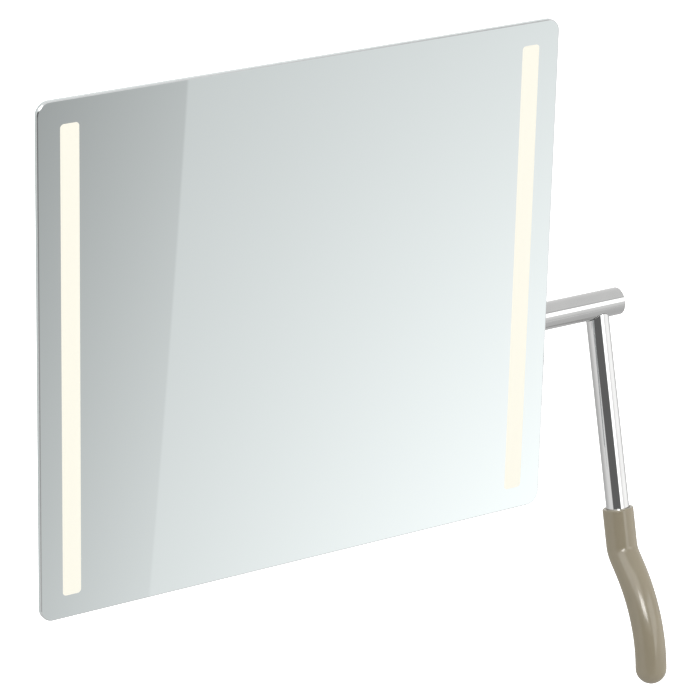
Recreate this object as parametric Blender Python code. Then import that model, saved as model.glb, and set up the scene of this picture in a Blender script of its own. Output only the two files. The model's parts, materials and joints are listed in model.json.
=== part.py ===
"""Tilting wall mirror with two lit strips and a side lever.

A horizontal tube turns in two friction bearings on a wall plate. The tube carries the mirror pane on a tray
and, beyond the pane's right edge, a lever with a bent grip. Units are metres. The wall is the plane y = 0,
the viewer is on the -Y side and +Z is up. The origin is on the wall, level with the pivot axis, on the
mirror's vertical centre line. Pieces of the moving unit are placed from the pivot axis.
"""

from math import acos, asin, cos, pi, radians, sin

import bmesh
import bpy
from mathutils import Vector

GAP = 0.0003  # kept between pieces that touch

# mirror pane
MIRROR_WIDTH = 0.600
MIRROR_HEIGHT = 0.540
GLASS_THICKNESS = 0.006
CORNER_RADIUS = 0.014
ARRIS = 0.0008

# places of the pivot axis and of the pane
WALL_TO_AXIS = 0.045
AXIS_TO_GLASS_FRONT = 0.043
PANE_ABOVE_AXIS = 0.076
FILM_THICKNESS = 0.0004
TAPE_THICKNESS = 0.001

# lit strips: two windows of the same inset on all outer sides
STRIP_WIDTH = 0.0205
STRIP_INSET = 0.0245
STRIP_HEIGHT = MIRROR_HEIGHT - 2 * STRIP_INSET
STRIP_X = MIRROR_WIDTH / 2 - STRIP_INSET - STRIP_WIDTH / 2
STRIP_CORNER = 0.004

# pivot tube
TUBE_RADIUS = 0.015
TUBE_WALL = 0.002
TUBE_LEFT = -0.262
TUBE_RIGHT = 0.425

# lever and grip, along the lever's own axis from the pivot axis
LEVER_X = 0.3965
LEVER_ANGLE = radians(15)
LEVER_RADIUS = 0.0127
LEVER_WALL = 0.002
GRIP_START = 0.223
GRIP_SOCKET = 0.012
GRIP_RADIUS = 0.017
GRIP_EDGE = 0.0015
GRIP_BEND_AT = 0.271
GRIP_BEND_RADIUS = 0.020
GRIP_BEND = radians(30)
GRIP_SLANT = 0.022
GRIP_CURVE_RADIUS = 0.162
GRIP_CURVE = radians(39.7)
CORE_RADIUS = 0.006

# wall plate and bearings
PLATE_WIDTH = 0.370
PLATE_HEIGHT = 0.140
PLATE_THICKNESS = 0.003
PLATE_DEPTH = 0.012
BEARING_X = 0.150
BEARING_WIDTH = 0.030
BEARING_HALF_HEIGHT = 0.034
BUSH_RADIUS = 0.018
CAP_RADIUS = 0.024
CAP_EAR = 0.010
CAP_SCREW_Z = 0.028
COLLAR_X = 0.1295
COLLAR_WIDTH = 0.010
COLLAR_RADIUS = 0.022
LUG_REACH = 0.034
LUG_HALF_HEIGHT = 0.004

# tray, saddles and electronics
SHEET = 0.0015
TRAY_HALF_WIDTH = 0.2502
TRAY_HALF_HEIGHT = 0.248
TRAY_BACK = -0.021
SADDLE_X = 0.215
SADDLE_WIDTH = 0.040
SADDLE_HALF_HEIGHT = 0.030
STRAP_RADIUS = 0.0195
STRAP_EAR = 0.008
STRAP_SCREW_Z = 0.024
CHANNEL_HALF_WIDTH = 0.015
CHANNEL_BACK = -0.019
COVER_Z = 0.089
COVER_WIDTH = 0.300
COVER_HEIGHT = 0.110
COVER_BACK = -0.001
COVER_WALL = 0.002
COVER_RIM = 0.012
DRIVER_WIDTH = 0.156
DRIVER_HEIGHT = 0.040
DRIVER_BACK = -0.008
DRIVER_EAR = 0.014
SUPPLY_X = 0.118
SUPPLY_Y = -0.017
LEAD_RADIUS = 0.002
LEAD_Y = -0.0265

# depths of the stack, as y from the pivot axis
GLASS_FRONT = -AXIS_TO_GLASS_FRONT
GLASS_BACK = GLASS_FRONT + GLASS_THICKNESS
FILM_FRONT = GLASS_BACK + GAP
FILM_BACK = FILM_FRONT + FILM_THICKNESS
TAPE_FRONT = FILM_BACK + GAP
TAPE_BACK = TAPE_FRONT + TAPE_THICKNESS
TRAY_FRONT = TAPE_BACK + GAP
TRAY_REAR_FACE = TRAY_FRONT + SHEET
SEAT = TRAY_REAR_FACE + GAP
SCREW_TIP = TRAY_FRONT + GAP
PLATE_SEAT = WALL_TO_AXIS - PLATE_THICKNESS - GAP

# angles, and places that several pieces share
FACING_VIEWER = (pi / 2, 0, 0)
FACING_WALL = (-pi / 2, 0, 0)
ALONG_X = (0, pi / 2, 0)
AGAINST_X = (0, -pi / 2, 0)
TILT_LIMIT = radians(20)
CABLE_HOLE_Z = -0.040
FIXING_X = 0.090
FIXING_Z = 0.048
TAPE_Z = 0.190
VENT_COUNT = 7
STRAP_SCREW_PLACES = (-PANE_ABOVE_AXIS - STRAP_SCREW_Z, -PANE_ABOVE_AXIS + STRAP_SCREW_Z)
COVER_SCREW_X = COVER_WIDTH / 2 + COVER_RIM / 2
COVER_SCREW_DROP = COVER_HEIGHT / 2 + COVER_RIM / 2
COVER_SCREW_PLACES = [
    (x, COVER_Z + z) for x in (-COVER_SCREW_X, COVER_SCREW_X) for z in (-COVER_SCREW_DROP, COVER_SCREW_DROP)
]
DRIVER_SCREW_X = DRIVER_WIDTH / 2 + DRIVER_EAR / 2
DRIVER_SCREW_PLACES = [(-DRIVER_SCREW_X, COVER_Z), (DRIVER_SCREW_X, COVER_Z)]

FINISHES = {  # colour, roughness, metallic
    "mirror": ((0.86, 0.88, 0.87), 0.02, 1.0),
    "satin_chrome": ((0.62, 0.62, 0.62), 0.22, 1.0),
    "bright_chrome": ((0.72, 0.72, 0.71), 0.06, 1.0),
    "taupe_polyamide": ((0.30, 0.255, 0.185), 0.22, 0.0),
    "film": ((0.55, 0.57, 0.58), 0.45, 0.0),
    "foam_tape": ((0.12, 0.12, 0.12), 0.9, 0.0),
    "aluminium": ((0.60, 0.61, 0.62), 0.38, 1.0),
    "white_steel": ((0.78, 0.78, 0.76), 0.42, 0.0),
    "zinc_steel": ((0.50, 0.50, 0.49), 0.35, 1.0),
    "white_polymer": ((0.80, 0.80, 0.78), 0.40, 0.0),
    "opal": ((0.95, 0.92, 0.82), 0.50, 0.0),
    "circuit_board": ((0.85, 0.86, 0.84), 0.45, 0.0),
    "grey_polymer": ((0.42, 0.43, 0.44), 0.50, 0.0),
    "rubber": ((0.03, 0.03, 0.03), 0.80, 0.0),
}


# ---------------------------------------------------------------- building blocks


def clear_scene():
    for obj in list(bpy.data.objects):
        bpy.data.objects.remove(obj, do_unlink=True)


def make_material(name, finish):
    colour, roughness, metallic = FINISHES[finish]
    material = bpy.data.materials.new(name)
    material.use_nodes = True
    shader = material.node_tree.nodes["Principled BSDF"]
    shader.inputs["Base Color"].default_value = (*colour, 1.0)
    shader.inputs["Roughness"].default_value = roughness
    shader.inputs["Metallic"].default_value = metallic
    return material


def empty(name, location, parent=None, tilt=0.0):
    obj = bpy.data.objects.new(name, None)
    bpy.context.scene.collection.objects.link(obj)
    obj.parent = parent
    obj.location = location
    obj.rotation_euler = (tilt, 0.0, 0.0)
    obj.empty_display_size = 0.03
    return obj


def place(obj, parent, location, rotation):
    bpy.context.scene.collection.objects.link(obj)
    obj.parent = parent
    obj.location = location
    obj.rotation_euler = rotation
    return obj


def solid(name, shape, finish, parent=None, location=(0, 0, 0), rotation=(0, 0, 0)):
    """Turns a bmesh into a placed object with its own material."""
    bmesh.ops.recalc_face_normals(shape, faces=shape.faces)
    mesh = bpy.data.meshes.new(name)
    shape.to_mesh(mesh)
    shape.free()
    mesh.shade_smooth()
    mesh.set_sharp_from_angle(angle=radians(30))
    mesh.materials.append(make_material(name, finish))
    return place(bpy.data.objects.new(name, mesh), parent, location, rotation)


def copy_of(original, name, location):
    """Another object with the same mesh, elsewhere on the same parent."""
    twin = bpy.data.objects.new(name, original.data)
    for modifier in original.modifiers:
        copied = twin.modifiers.new(modifier.name, modifier.type)
        copied.object = modifier.object
    return place(twin, original.parent, location, original.rotation_euler)


def cut(target, shape):
    """Takes a shape, given in the target's own coordinates, out of the target."""
    bmesh.ops.recalc_face_normals(shape, faces=shape.faces)
    mesh = bpy.data.meshes.new(target.name + "_cutter")
    shape.to_mesh(mesh)
    shape.free()
    cutter = bpy.data.objects.new(mesh.name, mesh)
    cutter.hide_render = True
    cutter.display_type = "WIRE"
    place(cutter, target.parent, target.location, target.rotation_euler)
    modifier = target.modifiers.new("cut", "BOOLEAN")
    modifier.operation = "DIFFERENCE"
    modifier.solver = "EXACT"
    modifier.object = cutter


def soften(obj, width):
    """Breaks the sharp edges of a block."""
    modifier = obj.modifiers.new("edges", "BEVEL")
    modifier.width = width
    modifier.segments = 1
    modifier.limit_method = "ANGLE"
    modifier.angle_limit = radians(40)


def add_loft(shape, rings, closed=False):
    """Adds a skin over rings of equally many points, capped at both ends or closed into a loop."""
    loops = [[shape.verts.new(point) for point in ring] for ring in rings]
    pairs = list(zip(loops, loops[1:]))
    if closed:
        pairs.append((loops[-1], loops[0]))
    else:
        shape.faces.new(loops[0])
        shape.faces.new(loops[-1])
    for low, high in pairs:
        for i in range(len(low)):
            j = (i + 1) % len(low)
            shape.faces.new((low[i], low[j], high[j], high[i]))
    return shape


def loft(rings, closed=False):
    return add_loft(bmesh.new(), rings, closed)


def rounded_ring(width, height, radius, y, centre=(0.0, 0.0), steps=4):
    """A rectangle with round corners, across the y axis."""
    ring = []
    for quarter in range(4):
        side_x = 1 if quarter in (0, 3) else -1
        side_z = 1 if quarter in (0, 1) else -1
        corner_x = centre[0] + side_x * (width / 2 - radius)
        corner_z = centre[1] + side_z * (height / 2 - radius)
        for step in range(steps + 1):
            angle = (quarter + step / steps) * pi / 2
            ring.append((corner_x + radius * cos(angle), y, corner_z + radius * sin(angle)))
    return ring


def rounded_plate(width, height, radius, front, back, chamfer=0.0):
    if chamfer:
        small = (width - 2 * chamfer, height - 2 * chamfer, radius - chamfer)
        rings = [
            rounded_ring(*small, front),
            rounded_ring(width, height, radius, front + chamfer),
            rounded_ring(width, height, radius, back - chamfer),
            rounded_ring(*small, back),
        ]
    else:
        rings = [rounded_ring(width, height, radius, front), rounded_ring(width, height, radius, back)]
    return loft(rings)


def circle(radius, height, segments):
    return [
        (radius * cos(2 * pi * i / segments), radius * sin(2 * pi * i / segments), height)
        for i in range(segments)
    ]


def turned(profile, segments, hollow=False):
    """A turned shape about local z, from (radius, height) pairs. A hollow one's profile is a closed loop."""
    return loft([circle(radius, height, segments) for radius, height in profile], closed=hollow)


def hexagon(apothem, height):
    """Twelve points on a hexagon: its corners and the middles of its sides."""
    ring = []
    for i in range(12):
        reach = apothem if i % 2 else apothem / cos(pi / 6)
        ring.append((reach * cos(pi * i / 6), reach * sin(pi * i / 6), height))
    return ring


def socket_screw(head_radius, head_height, shank_radius, length, socket):
    """A cap screw with its head up from height 0 and its shank below. The socket is a hexagon."""
    edge = 0.12 * head_radius
    rings = [
        hexagon(socket, head_height * 0.45),
        hexagon(socket, head_height),
        circle(head_radius - edge, head_height, 12),
        circle(head_radius, head_height - edge, 12),
        circle(head_radius, 0.0, 12),
        circle(shank_radius, 0.0, 12),
        circle(shank_radius, -length + edge, 12),
        circle(shank_radius - edge, -length, 12),
    ]
    return loft(rings)


def grub_screw(radius, length, socket):
    rings = [
        hexagon(socket, -length * 0.4),
        hexagon(socket, 0.0),
        circle(radius, 0.0, 12),
        circle(radius, -length + radius * 0.4, 12),
        circle(radius * 0.6, -length, 12),
    ]
    return loft(rings)


def add_bar(shape, start, end, radius, segments=16):
    """Adds a round bar between two points."""
    start, end = Vector(start), Vector(end)
    turn = (end - start).to_track_quat("Z", "Y")
    ends = []
    for point in (start, end):
        ends.append([point + turn @ Vector(p) for p in circle(radius, 0.0, segments)])
    return add_loft(shape, ends)


def prism(outline, width):
    """An outline of (y, z) pairs, as thick as width along x."""
    return loft([[(side * width / 2, y, z) for y, z in outline] for side in (-1, 1)])


def arc(radius, start, end, steps):
    """Points (y, z) on a circle round the pivot axis. Angle 0 points to +y, a quarter turn to +z."""
    return [
        (radius * cos(start + (end - start) * i / steps), radius * sin(start + (end - start) * i / steps))
        for i in range(steps + 1)
    ]


def half_bore(radius, side, steps=16):
    """Half of a round bore, on the +y side or the -y side, stopping half a gap short of the split."""
    reach = acos(GAP / 2 / radius)
    if side > 0:
        return arc(radius, reach, -reach, steps)
    return arc(radius, pi + reach, pi - reach, steps)


# ---------------------------------------------------------------- wall plate and bearings (fixed)


def build_wall_plate():
    edge = 0.0008
    inner = (PLATE_WIDTH - 2 * PLATE_THICKNESS, PLATE_HEIGHT - 2 * PLATE_THICKNESS, 0.007)
    rings = [
        rounded_ring(PLATE_WIDTH - 2 * edge, PLATE_HEIGHT - 2 * edge, 0.010 - edge, 0.0),
        rounded_ring(PLATE_WIDTH, PLATE_HEIGHT, 0.010, -edge),
        rounded_ring(PLATE_WIDTH, PLATE_HEIGHT, 0.010, -PLATE_DEPTH),
        rounded_ring(*inner, -PLATE_DEPTH),
        rounded_ring(*inner, -PLATE_THICKNESS),
    ]
    plate = solid("wall_plate", loft(rings), "white_steel")
    holes = bmesh.new()
    add_bar(holes, (0, 0.01, CABLE_HOLE_Z), (0, -0.008, CABLE_HOLE_Z), 0.011 + GAP, 20)
    for x in (-FIXING_X, FIXING_X):
        for z in (-FIXING_Z, FIXING_Z):
            slot = [rounded_ring(0.018, 0.008, 0.0039, y, (x, z), 3) for y in (0.01, -0.008)]
            add_loft(holes, slot)
    for x in (-BEARING_X, BEARING_X):
        for z in (-CAP_SCREW_Z, CAP_SCREW_Z):
            add_bar(holes, (x, 0.01, z), (x, -0.008, z), 0.003 + GAP, 12)
    cut(plate, holes)


def build_wall_grommet():
    """Rubber ring that lines the cable hole. Heights count from the wall towards the viewer."""
    front = PLATE_THICKNESS + GAP
    profile = [
        (0.006, GAP),
        (0.011 - GAP, GAP),
        (0.011 - GAP, front),
        (0.0135, front),
        (0.0135, front + 0.0012),
        (0.0125, front + 0.0022),
        (0.0065, front + 0.0022),
        (0.006, front + 0.0017),
    ]
    place_at = (0, 0, CABLE_HOLE_Z)
    solid("wall_grommet", turned(profile, 20, hollow=True), "rubber", None, place_at, FACING_VIEWER)


def build_bearing(side, x, bracket):
    """A split bearing: base on the plate, cap in front, a bush half in each and two long screws."""
    half = BEARING_HALF_HEIGHT
    split = GAP / 2
    bore = BUSH_RADIUS + GAP
    base_outline = [(PLATE_SEAT, -half), (PLATE_SEAT, half), (split, half)]
    base_outline += half_bore(bore, 1) + [(split, -half)]
    base = solid(f"bearing_base_{side}", prism(base_outline, BEARING_WIDTH), "aluminium", bracket, (x, 0, 0))
    soften(base, 0.0008)

    arch_from = pi - acos(CAP_EAR / CAP_RADIUS)
    cap_outline = [(-split, half), (-CAP_EAR, half)]
    cap_outline += arc(CAP_RADIUS, arch_from, 2 * pi - arch_from, 16)
    cap_outline += [(-CAP_EAR, -half), (-split, -half)] + half_bore(bore, -1)
    cap = solid(f"bearing_cap_{side}", prism(cap_outline, BEARING_WIDTH), "aluminium", bracket, (x, 0, 0))
    soften(cap, 0.0008)

    for block, front, rear in ((base, -0.001, WALL_TO_AXIS), (cap, -0.03, 0.001)):
        holes = bmesh.new()
        for z in (-CAP_SCREW_Z, CAP_SCREW_Z):
            add_bar(holes, (0, front, z), (0, rear, z), 0.003 + GAP, 12)
        cut(block, holes)

    for half_name, direction in (("rear", 1), ("front", -1)):
        outer = half_bore(BUSH_RADIUS, direction)
        inner = half_bore(TUBE_RADIUS + GAP, direction)
        outline = outer + inner[::-1]
        width = BEARING_WIDTH - 2 * GAP
        solid(f"bush_{half_name}_{side}", prism(outline, width), "white_polymer", bracket, (x, 0, 0))

    length = WALL_TO_AXIS + CAP_EAR - 0.001
    upper = solid(
        f"cap_screw_{side}_upper",
        socket_screw(0.005, 0.006, 0.003, length, 0.0025),
        "zinc_steel",
        bracket,
        (x, -CAP_EAR - GAP, CAP_SCREW_Z),
        FACING_VIEWER,
    )
    copy_of(upper, f"cap_screw_{side}_lower", (x, -CAP_EAR - GAP, -CAP_SCREW_Z))


def build_tilt_stop(bracket):
    """A fork welded to the plate round the collar's lug, with a rubber bumper on each prong."""
    prong = 0.003
    bumper = 0.004
    rest_top = -LUG_HALF_HEIGHT - GAP
    tilt_bottom = LUG_REACH * sin(TILT_LIMIT) + LUG_HALF_HEIGHT * cos(TILT_LIMIT) + GAP
    low = rest_top - bumper - GAP
    high = tilt_bottom + bumper + GAP
    tip = 0.021
    outline = [
        (PLATE_SEAT, low - prong),
        (PLATE_SEAT, high + prong),
        (tip, high + prong),
        (tip, high),
        (PLATE_SEAT - prong, high),
        (PLATE_SEAT - prong, low),
        (tip, low),
        (tip, low - prong),
    ]
    width = COLLAR_WIDTH - 2 * GAP
    solid("stop_fork", prism(outline, width), "zinc_steel", bracket, (-COLLAR_X, 0, 0))
    for name, bottom in (("rest_bumper", rest_top - bumper), ("tilt_bumper", tilt_bottom)):
        block = [(tip + 0.001, bottom), (tip + 0.001, bottom + bumper)]
        block += [(tip + 0.013, bottom + bumper), (tip + 0.013, bottom)]
        piece = solid(name, prism(block, 0.008), "rubber", bracket, (-COLLAR_X, 0, 0))
        soften(piece, 0.0006)


# ---------------------------------------------------------------- pivot tube and its fittings (moving)


def build_pivot_tube(axis):
    length = TUBE_RIGHT - TUBE_LEFT
    middle = (TUBE_RIGHT + TUBE_LEFT) / 2
    inner = TUBE_RADIUS - TUBE_WALL
    edge = 0.0005
    profile = [
        (inner, -length / 2),
        (TUBE_RADIUS - edge, -length / 2),
        (TUBE_RADIUS, -length / 2 + edge),
        (TUBE_RADIUS, length / 2 - edge),
        (TUBE_RADIUS - edge, length / 2),
        (inner, length / 2),
    ]
    tube = solid(
        "pivot_tube", turned(profile, 48, hollow=True), "satin_chrome", axis, (middle, 0, 0), ALONG_X
    )
    # the lever screw leaves the tube square to the lever, which leans by LEVER_ANGLE
    hole = bmesh.new()
    reach = (LEVER_X - middle, cos(LEVER_ANGLE), -sin(LEVER_ANGLE))
    start = (0.008 * reach[1], 0.008 * reach[2], reach[0])
    end = (0.018 * reach[1], 0.018 * reach[2], reach[0])
    add_bar(hole, start, end, 0.004 + GAP)
    cut(tube, hole)
    return tube


def build_tube_plugs(axis):
    radius = TUBE_RADIUS - TUBE_WALL - GAP
    profile = [(radius - 0.0006, 0.0), (radius, -0.0006), (radius, -0.012)]
    for side, x, turn in (("right", TUBE_RIGHT - GAP, ALONG_X), ("left", TUBE_LEFT + GAP, AGAINST_X)):
        solid(f"tube_plug_{side}", turned(profile, 24), "bright_chrome", axis, (x, 0, 0), turn)


def build_collars(axis):
    """Collars inside the bearings keep the tube from sliding. The left one has the lug that limits tilt."""
    inner = TUBE_RADIUS + GAP
    half = COLLAR_WIDTH / 2
    edge = 0.0007
    profile = [
        (inner, -half),
        (COLLAR_RADIUS - edge, -half),
        (COLLAR_RADIUS, -half + edge),
        (COLLAR_RADIUS, half - edge),
        (COLLAR_RADIUS - edge, half),
        (inner, half),
    ]
    plain = solid(
        "thrust_collar_right", turned(profile, 32, hollow=True), "zinc_steel", axis, (COLLAR_X, 0, 0), ALONG_X
    )
    root = asin(LUG_HALF_HEIGHT / COLLAR_RADIUS)
    outline = arc(COLLAR_RADIUS, root, 2 * pi - root, 32)
    outline += [(LUG_REACH, -LUG_HALF_HEIGHT), (LUG_REACH, LUG_HALF_HEIGHT)]
    lug = solid("stop_collar_left", prism(outline, COLLAR_WIDTH), "zinc_steel", axis, (-COLLAR_X, 0, 0))
    bore = bmesh.new()
    add_bar(bore, (-0.02, 0, 0), (0.02, 0, 0), inner, 32)
    add_bar(bore, (0, 0, -0.0145), (0, 0, -0.03), 0.0027 + GAP, 12)
    cut(lug, bore)
    hole = bmesh.new()
    add_bar(hole, (0.0145, 0, 0), (0.03, 0, 0), 0.0027 + GAP, 12)
    cut(plain, hole)
    screw = solid(
        "collar_screw_right",
        grub_screw(0.0027, 0.0055, 0.0013),
        "zinc_steel",
        axis,
        (COLLAR_X, 0, -COLLAR_RADIUS + 0.0006),
        (pi, 0, 0),
    )
    copy_of(screw, "collar_screw_left", (-COLLAR_X, 0, -COLLAR_RADIUS + 0.0006))


def build_saddle(side, x, axis):
    """The tray's hold on the tube: a saddle block in front, a strap behind and two long screws."""
    half = SADDLE_HALF_HEIGHT
    split = GAP / 2
    bore = TUBE_RADIUS + GAP
    outline = [(-split, half), (SEAT, half), (SEAT, -half), (-split, -half)] + half_bore(bore, -1)
    saddle = solid(f"tube_saddle_{side}", prism(outline, SADDLE_WIDTH), "aluminium", axis, (x, 0, 0))
    soften(saddle, 0.0008)

    arch_from = acos(STRAP_EAR / STRAP_RADIUS)
    outline = [(split, -half), (STRAP_EAR, -half)] + arc(STRAP_RADIUS, -arch_from, arch_from, 16)
    outline += [(STRAP_EAR, half), (split, half)] + half_bore(bore, 1)
    strap = solid(f"tube_strap_{side}", prism(outline, SADDLE_WIDTH), "aluminium", axis, (x, 0, 0))
    soften(strap, 0.0008)

    for block, front, rear in ((saddle, -0.04, 0.001), (strap, -0.001, 0.03)):
        holes = bmesh.new()
        for z in (-STRAP_SCREW_Z, STRAP_SCREW_Z):
            add_bar(holes, (0, front, z), (0, rear, z), 0.0025 + GAP, 12)
        cut(block, holes)
    upper = solid(
        f"strap_screw_{side}_upper",
        socket_screw(0.00425, 0.005, 0.0025, STRAP_EAR + GAP - SCREW_TIP, 0.002),
        "zinc_steel",
        axis,
        (x, STRAP_EAR + GAP, STRAP_SCREW_Z),
        FACING_WALL,
    )
    copy_of(upper, f"strap_screw_{side}_lower", (x, STRAP_EAR + GAP, -STRAP_SCREW_Z))


# ---------------------------------------------------------------- mirror pane, tray and lighting (moving)


def build_pane(pane):
    glass = rounded_plate(MIRROR_WIDTH, MIRROR_HEIGHT, CORNER_RADIUS, GLASS_FRONT, GLASS_BACK, ARRIS)
    solid("mirror_glass", glass, "mirror", pane)
    film_inset = 0.008
    film = solid(
        "shatter_film",
        rounded_plate(
            MIRROR_WIDTH - 2 * film_inset,
            MIRROR_HEIGHT - 2 * film_inset,
            CORNER_RADIUS - film_inset / 2,
            FILM_FRONT,
            FILM_BACK,
        ),
        "film",
        pane,
    )
    windows = bmesh.new()
    for x in (-STRIP_X, STRIP_X):
        window = [
            rounded_ring(STRIP_WIDTH, STRIP_HEIGHT, STRIP_CORNER, y, (x, 0)) for y in (-0.05, -0.03)
        ]
        add_loft(windows, window)
    cut(film, windows)
    tape = rounded_plate(0.460, 0.040, 0.002, TAPE_FRONT, TAPE_BACK)
    upper = solid("bond_tape_upper", tape, "foam_tape", pane, (0, 0, TAPE_Z))
    copy_of(upper, "bond_tape_lower", (0, 0, -TAPE_Z))


def build_tray(pane):
    width, height, corner = 2 * TRAY_HALF_WIDTH, 2 * TRAY_HALF_HEIGHT, 0.006
    inner = (width - 2 * SHEET, height - 2 * SHEET, corner - SHEET)
    rings = [
        rounded_ring(width, height, corner, TRAY_FRONT),
        rounded_ring(width, height, corner, TRAY_BACK),
        rounded_ring(*inner, TRAY_BACK),
        rounded_ring(*inner, TRAY_REAR_FACE),
    ]
    tray = solid("carrier_tray", loft(rings), "white_steel", pane)
    holes = bmesh.new()
    places = [(x, z, 0.0025) for x in (-SADDLE_X, SADDLE_X) for z in STRAP_SCREW_PLACES]
    places += [(x, z, 0.002) for x, z in COVER_SCREW_PLACES + DRIVER_SCREW_PLACES]
    for x, z, radius in places:
        add_bar(holes, (x, TRAY_FRONT - 0.004, z), (x, TRAY_REAR_FACE + 0.004, z), radius + GAP, 12)
    for side in (-1, 1):
        start = (side * (TRAY_HALF_WIDTH - 0.006), LEAD_Y, COVER_Z)
        end = (side * (TRAY_HALF_WIDTH + 0.006), LEAD_Y, COVER_Z)
        add_bar(holes, start, end, LEAD_RADIUS + 0.0006, 12)
    cut(tray, holes)


def build_light(side, direction, pane):
    """An extruded channel behind a window of the pane, with a circuit board and an opal diffuser."""
    x = direction * STRIP_X
    half = CHANNEL_HALF_WIDTH
    mouth, ledge, floor = 0.0133, 0.0115, CHANNEL_BACK - SHEET
    ledge_y = TAPE_FRONT + 0.0035
    outline = [(-half, TAPE_FRONT), (-half, CHANNEL_BACK), (half, CHANNEL_BACK), (half, TAPE_FRONT)]
    outline += [(mouth, TAPE_FRONT), (mouth, ledge_y), (ledge, ledge_y), (ledge, floor)]
    outline += [(-ledge, floor), (-ledge, ledge_y), (-mouth, ledge_y), (-mouth, TAPE_FRONT)]
    ends = [[(px, py, z) for px, py in outline] for z in (-TRAY_HALF_HEIGHT, TRAY_HALF_HEIGHT)]
    channel = solid(f"led_channel_{side}", loft(ends), "aluminium", pane, (x, 0, 0))
    hole = bmesh.new()
    start = (-direction * (half + 0.002), LEAD_Y, COVER_Z)
    end = (-direction * (ledge - 0.002), LEAD_Y, COVER_Z)
    add_bar(hole, start, end, LEAD_RADIUS + 0.0006, 12)
    cut(channel, hole)
    board = rounded_plate(0.018, 0.484, 0.001, floor - GAP - 0.0016, floor - GAP)
    solid(f"led_board_{side}", board, "circuit_board", pane, (x, 0, 0))
    diffuser = rounded_plate(0.026, 0.492, 0.001, TAPE_FRONT + GAP, ledge_y - GAP)
    solid(f"diffuser_{side}", diffuser, "opal", pane, (x, 0, 0))

    curve = bpy.data.curves.new(f"lamp_lead_{side}", "CURVE")
    curve.dimensions = "3D"
    curve.bevel_depth = LEAD_RADIUS
    curve.bevel_resolution = 2
    curve.use_fill_caps = True
    spline = curve.splines.new("POLY")
    route = lead_route(direction)
    spline.points.add(len(route) - 1)
    for point, (px, py) in zip(spline.points, route):
        point.co = (px, py, COVER_Z, 1.0)
    curve.materials.append(make_material(curve.name, "white_polymer"))
    place(bpy.data.objects.new(curve.name, curve), pane, (0, 0, 0), (0, 0, 0))


def lead_route(direction):
    """From the driver's end, down to the tray's level and straight out into the channel."""
    start = DRIVER_WIDTH / 2 + GAP
    end = STRIP_X - CHANNEL_HALF_WIDTH + 0.007
    drop_from, drop_to = start + 0.012, COVER_WIDTH / 2 - 0.012
    high = (SEAT + DRIVER_BACK) / 2
    count = 18
    route = []
    for i in range(count + 1):
        x = start + (end - start) * i / count
        share = min(max((x - drop_from) / (drop_to - drop_from), 0.0), 1.0)
        ease = share * share * (3 - 2 * share)
        route.append((direction * x, high + (LEAD_Y - high) * ease))
    return route


def build_driver(pane):
    base = (DRIVER_WIDTH + 2 * DRIVER_EAR, DRIVER_HEIGHT, 0.003)
    body = (DRIVER_WIDTH, DRIVER_HEIGHT - 0.002, 0.003)
    top = (DRIVER_WIDTH - 0.003, DRIVER_HEIGHT - 0.005, 0.0015)
    centre = (0.0, COVER_Z)
    rings = [
        rounded_ring(*base, SEAT, centre),
        rounded_ring(*base, SEAT + 0.002, centre),
        rounded_ring(*body, SEAT + 0.002, centre),
        rounded_ring(*body, DRIVER_BACK - 0.0015, centre),
        rounded_ring(*top, DRIVER_BACK, centre),
    ]
    driver = solid("led_driver", loft(rings), "white_polymer", pane)
    holes = bmesh.new()
    for x, z in DRIVER_SCREW_PLACES:
        add_bar(holes, (x, SEAT - 0.002, z), (x, SEAT + 0.004, z), 0.002 + GAP, 12)
    cut(driver, holes)
    add_screws("driver_screw", DRIVER_SCREW_PLACES, pane)


def build_terminal_block(pane):
    width, height, depth = 0.030, 0.018, 0.016
    centre = (SUPPLY_X, COVER_Z - 0.028)
    rings = [rounded_ring(width, height, 0.001, y, centre) for y in (SEAT, SEAT + depth)]
    block = solid("terminal_block", loft(rings), "white_polymer", pane)
    holes = bmesh.new()
    for step in (-1, 0, 1):
        x = SUPPLY_X + step * 0.009
        add_bar(holes, (x, SEAT + depth - 0.006, centre[1]), (x, SEAT + depth + 0.004, centre[1]), 0.0026, 12)
    cut(block, holes)


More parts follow.
